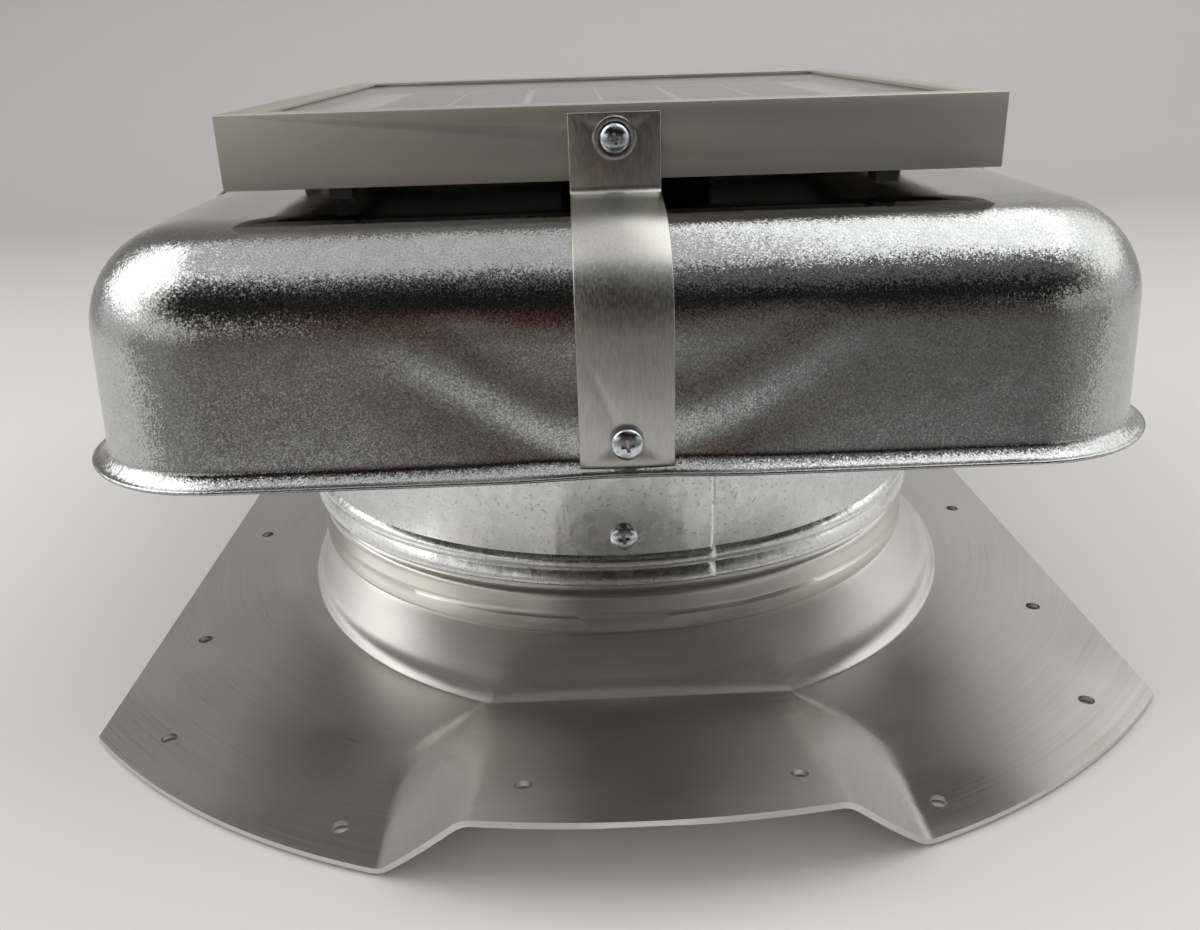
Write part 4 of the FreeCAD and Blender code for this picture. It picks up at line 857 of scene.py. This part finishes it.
for side in ("front", "back", "left", "right"):
    make_piece(softened(f"strap_{side}", 0.15), f"bent_strap_{side}", f"strap_{side}")
    make_piece(softened(f"frame_rail_{side}", 0.25), f"anodised_rail_{side}",
               f"frame_rail_{side}")


# %% [markdown]
# ## Screws with a cross recess
# Twelve zinc-plated pan head screws hold the straps and the neck. A head is a low dome spun from
# half its outline. The cross is cut out of it with two tapered bars, because a driver's bit is
# tapered too. One head is made for each kind of screw, then copied round the four sides, each
# stopped at its own angle. The straps' upper screws sit in pressed cup washers.
#
# %% Screws and cup washers
SCREW_TURNS = (9.0, 52.0, 31.0, 70.0)    # where each screw stopped turning, in degrees
WASHER_H = 1.5


def spun(points):
    """A closed solid from an outline of (radius, height) points, closed or ending on the axis."""
    bm = bmesh.new()
    outline = drawn_line(bm, [(r, 0, z) for r, z in points])
    bmesh.ops.spin(bm, geom=outline, cent=(0, 0, 0), axis=UP, angle=2 * math.pi, steps=48,
                   use_merge=True)
    bmesh.ops.remove_doubles(bm, verts=bm.verts, dist=0.001)
    bmesh.ops.recalc_face_normals(bm, faces=bm.faces)
    return bm


def cross_recess(reach, width, top, depth):
    """Two tapered bars that cross, to be cut out of a screw's head."""
    bm = bmesh.new()
    for quarter in (0, 1):
        place = (Matrix.Translation((0, 0, top)) @ Matrix.Rotation(quarter * math.pi / 2, 4, "Z")
                 @ Matrix.Diagonal((2 * reach, width, 2 * depth, 1.0)))
        bar = bmesh.ops.create_cube(bm, size=1.0, matrix=place)
        for vert in bar["verts"]:
            if vert.co.z < top:
                vert.co.xy *= 0.45
    return bm


def cross_screw(head_r, head_h, shank_r, length):
    """A pan head screw that stands on the plane z = 0, head up."""
    dome = [(0, -length), (shank_r * 0.5, -length), (shank_r, -length + 0.8), (shank_r, 0.0),
            (head_r - 0.15, 0.0), (head_r, 0.2), (head_r, head_h * 0.3)]
    dome += [(head_r * math.cos(t), head_h * (0.3 + 0.7 * math.sin(t)))
             for t in (math.radians(15 * i) for i in range(1, 6))] + [(0, head_h)]
    return carve(spun(dome), cross_recess(0.56 * head_r, 0.30 * head_r, head_h, 0.62 * head_h))


def cup_washer(bore, outer, height):
    """Pressed washer: a raised rim round a sunk seat."""
    rim = [(bore, 0.0), (outer, 0.0), (outer, 0.35), (outer - 0.5, height - 0.15),
           (outer - 1.1, height), (outer - 1.6, height - 0.1), (bore + 1.9, 0.75), (bore, 0.7)]
    return spun(rim + rim[:1])


def four_sides(pattern, height, reaches, turns=(0, 0, 0, 0)):
    """Copies of a solid facing outwards from the four sides, at a height and given distances."""
    mesh = bpy.data.meshes.new("pattern")
    pattern.to_mesh(mesh)
    pattern.free()
    bm = bmesh.new()
    for quarter, (reach, turn) in enumerate(zip(reaches, turns)):
        before = len(bm.verts)
        bm.from_mesh(mesh)
        bm.verts.ensure_lookup_table()
        place = (Matrix.Rotation(quarter * math.pi / 2, 4, "Z")
                 @ Matrix.Translation((0, -reach, height))
                 @ Matrix.Rotation(math.pi / 2, 4, "X")
                 @ Matrix.Rotation(math.radians(turn), 4, "Z"))
        bmesh.ops.transform(bm, matrix=place, verts=bm.verts[before:])
    bpy.data.meshes.remove(mesh)
    return bm


def four_places(node, thickness):
    """Radius and height of four round parts on the sides, and how far out each one's foot is."""
    low, high = box_mm(node)
    reaches = [d - thickness for d in (-low.y, high.x, high.y, -low.x)]
    return (high.z - low.z) / 2, (high.z + low.z) / 2, reaches


for node, head_h, shank_r, length in (("neck_screws", 2.6, 2.3, 8.0),
                                      ("strap_hood_screws", 2.9, 2.3, 7.0),
                                      ("strap_panel_screws", 2.6, 2.0, 9.0)):
    head_r, middle_z, reaches = four_places(node, head_h)
    screws = four_sides(cross_screw(head_r, head_h, shank_r, length), middle_z, reaches,
                        SCREW_TURNS)
    make_piece(screws, f"cross_{node}", node)

washer_r, washer_z, reaches = four_places("strap_cup_washers", WASHER_H)
washers = four_sides(cup_washer(2.2, washer_r, WASHER_H), washer_z, reaches)
make_piece(washers, "pressed_cup_washers", "strap_cup_washers")


# %% [markdown]
# ## The studio
# A pale floor rises behind the object in one smooth sweep. Three soft lamps hang above it. Sheet
# metal only shows its shape when it has something to mirror, so a painted card stands in front,
# behind the camera; only reflections see it. The card is painted by direction: dark high up,
# warm near the horizon, and bright on both sides. The dark part is narrow low down and spreads
# out higher up.
#
# %% Floor, sweep, card and lamps
FLOOR_DROP = 1.0                         # the floor lies this far under the flashing
FLOOR_FRONT, FLOOR_BACK, FLOOR_W = -4000.0, 900.0, 6000.0
SWEEP_R, SWEEP_TOP = 500.0, 2600.0       # the bend behind the floor, and the wall's top
CARD_CENTRE = (-150.0, 120.0)            # the card bends about this place in y and z
CARD_REACH = 620.0
CARD_LOW, CARD_HIGH = -10, 68            # elevations of its bent part, in degrees
CARD_HALF_W = 2400.0
RAMP_LOW, RAMP_HIGH = -40.0, 80.0        # elevations at the ends of the tone ramp
CARD_TONES = ((-40, "#c6c4c2"), (-24, "#8d8a86"), (-16, "#777470"), (-9, "#75706c"),
              (-4, "#6d625d"), (4, "#60493f"), (14, "#4a3633"), (22, "#262020"),
              (29, "#1f1d1c"), (49, "#1b1a1a"), (59, "#6c6c6c"))
CARD_LEAN = 0.15                         # the tones sink towards the right
RIGHT_DROP = 8.0                         # and the dark part's upper edge sinks this much more
SIDE_LIMITS = ((-12, 52, 52), (4, 30, 40), (18, 30, 40), (34, 60, 70))  # height, left, right
SIDE_SOFT = 9.0                          # the sides fade in over this many degrees
SIDE_LOW, SIDE_LEFT, SIDE_RIGHT = "#989694", "#fffdf8", "#d8d6d2"
LAMPS = (("lamp_right", (0.46, 0.10, 1.05), (1.2, 0.6), 2.4),
         ("lamp_far_right", (1.20, 0.30, 1.00), (1.4, 1.2), 4.5),
         ("lamp_left", (-0.95, 0.0, 0.85), (1.05, 1.05), 6.0))   # place, size, power
LAMPS_FACE = Vector((0, 0, 0.08))
WORLD_COLOUR, WORLD_STRENGTH = "#e4e3e2", 0.96


def sweep_material():
    """Matt paper with painted light and shade: palest near the object, darker towards the back,
    and painted shade high up on the left, out of the light.
    """
    material, tree, surface, place = start_material("studio_floor", Roughness=0.7)
    x, y, z = add(tree, "SeparateXYZ", {0: place}).outputs
    # Painted fall-off of the light: the floor darkens from near the object towards the back.
    low = blend_colour(tree, span(tree, y, 0.0, FLOOR_BACK), "#d9d7d6", "#bcbab9")
    # Painted shade: the wall is darker high up on the left and paler on the right.
    high = blend_colour(tree, span(tree, x, -900.0, 1300.0), "#918e8c", "#e2e0de")
    up = span(tree, z, 60.0, 900.0, interpolation_type="SMOOTHSTEP")
    feed(tree, surface, Base_Color=blend_colour(tree, up, low, high))
    return material


def studio_floor():
    """Floor and back wall in one sheet, joined by a wide bend."""
    bm = bmesh.new()
    profile = [(FLOOR_FRONT, -FLOOR_DROP), (-1000.0, -FLOOR_DROP), (FLOOR_BACK, -FLOOR_DROP)]
    profile += [(FLOOR_BACK + y, SWEEP_R - FLOOR_DROP + z)
                for y, z in arc((0, 0), SWEEP_R, -90, 0, 16)][1:]
    profile += [(FLOOR_BACK + SWEEP_R, SWEEP_TOP)]
    line = drawn_line(bm, [(-FLOOR_W / 2, y, z) for y, z in profile])
    bmesh.ops.spin(bm, geom=line, cent=(0, 0, 0), axis=UP, dvec=(FLOOR_W / 6, 0, 0), angle=0.0,
                   steps=6)
    bmesh.ops.recalc_face_normals(bm, faces=bm.faces)
    floor = bpy.data.objects.new("floor", make_mesh(bm, "floor"))
    floor.data.materials.append(sweep_material())
    scene.collection.objects.link(floor)


def in_degrees(tree, opposite, adjacent):
    """The angle of a slope, in degrees."""
    return calc(tree, "DEGREES", calc(tree, "ARCTAN2", opposite, adjacent))


def steps_of(tree, value, points):
    """A number that follows (value, result) points in straight lines."""
    result = points[0][1]
    for (start, first), (end, second) in zip(points, points[1:]):
        result = calc(tree, "ADD", span(tree, value, start, end, 0.0, second - first), result)
    return result


def card_tone(tree, elevation, aside):
    """The colour straight ahead, by elevation; it turns grey towards the right."""
    leaning = calc(tree, "MULTIPLY_ADD", aside, CARD_LEAN, elevation)
    dropped = calc(tree, "MULTIPLY_ADD", span(tree, aside, -3.0, 3.0),
                   span(tree, elevation, 30.0, 45.0, 0.0, RIGHT_DROP), leaning)
    ramp = add(tree, "ValToRGB", {0: span(tree, dropped, RAMP_LOW, RAMP_HIGH)})
    stops = [((angle - RAMP_LOW) / (RAMP_HIGH - RAMP_LOW), colour)
             for angle, colour in CARD_TONES]
    elements = ramp.color_ramp.elements
    for element, (position, colour) in zip(elements, (stops[0], stops[-1])):
        element.position = position
        element.color = linear(colour)
    for position, colour in stops[1:-1]:
        elements.new(position).color = linear(colour)
    return add(tree, "HueSaturation", {"Saturation": span(tree, aside, 4.0, 16.0, 1.0, 0.2),
                                       "Color": ramp.outputs[0]}).outputs[0]


def card_paint():
    """Emission by elevation and by the turn left or right of straight ahead."""
    material, tree, glow, place = shader_material("card_paint", "Emission")
    x, y, z = add(tree, "SeparateXYZ", {0: place}).outputs
    ahead = calc(tree, "SUBTRACT", CARD_CENTRE[0] * MM, y)
    elevation = in_degrees(tree, calc(tree, "SUBTRACT", z, CARD_CENTRE[1] * MM), ahead)
    aside = in_degrees(tree, x, ahead)
    front = card_tone(tree, elevation, aside)
    side = blend_colour(tree, span(tree, aside, -10.0, 10.0), SIDE_LEFT, SIDE_RIGHT)
    side = blend_colour(tree, span(tree, elevation, 2.0, 20.0), SIDE_LOW, side)
    for column, outwards in ((1, calc(tree, "MULTIPLY", aside, -1.0)), (2, aside)):
        limit = steps_of(tree, elevation, [(stop[0], stop[column]) for stop in SIDE_LIMITS])
        past = calc(tree, "SUBTRACT", outwards, limit)
        front = blend_colour(tree, span(tree, past, -SIDE_SOFT / 2, SIDE_SOFT / 2), front, side)
    feed(tree, glow, Color=front)
    return material


def painted_card():
    """A card bent round the front of the object, from the floor up over the camera."""
    bm = bmesh.new()
    profile = [(-300.0, 2.0), (-420.0, 2.0), (-560.0, 2.0)]
    profile += [(CARD_CENTRE[0] - y, CARD_CENTRE[1] + z)
                for y, z in arc((0, 0), CARD_REACH, CARD_LOW, CARD_HIGH, 16)]
    line = drawn_line(bm, [(-CARD_HALF_W, y, z) for y, z in profile])
    bmesh.ops.spin(bm, geom=line, cent=(0, 0, 0), axis=UP, dvec=(2 * CARD_HALF_W, 0, 0),
                   angle=0.0, steps=1)
    card = bpy.data.objects.new("painted_card", make_mesh(bm, "painted_card"))
    card.data.materials.append(card_paint())
    scene.collection.objects.link(card)
    for kind in ("camera", "diffuse", "shadow", "transmission"):
        setattr(card, f"visible_{kind}", False)


def soft_lamp(name, at, size, power):
    """A soft rectangular lamp that faces the middle of the object."""
    lamp = bpy.data.objects.new(name, bpy.data.lights.new(name, "AREA"))
    lamp.data.shape = "RECTANGLE"
    lamp.data.size, lamp.data.size_y = size
    lamp.data.energy = power
    lamp.location = at
    lamp.rotation_euler = (LAMPS_FACE - Vector(at)).to_track_quat("-Z", "Y").to_euler()
    scene.collection.objects.link(lamp)


def studio_light():
    """Even light from all round, and the lamps."""
    world = bpy.data.worlds.new("studio")
    world.use_nodes = True
    scene.world = world
    background = world.node_tree.nodes["Background"]
    background.inputs["Color"].default_value = linear(WORLD_COLOUR)
    background.inputs["Strength"].default_value = WORLD_STRENGTH
    for lamp in LAMPS:
        soft_lamp(*lamp)


studio_floor()
painted_card()
studio_light()

# %% Finish
bpy.context.view_layer.update()
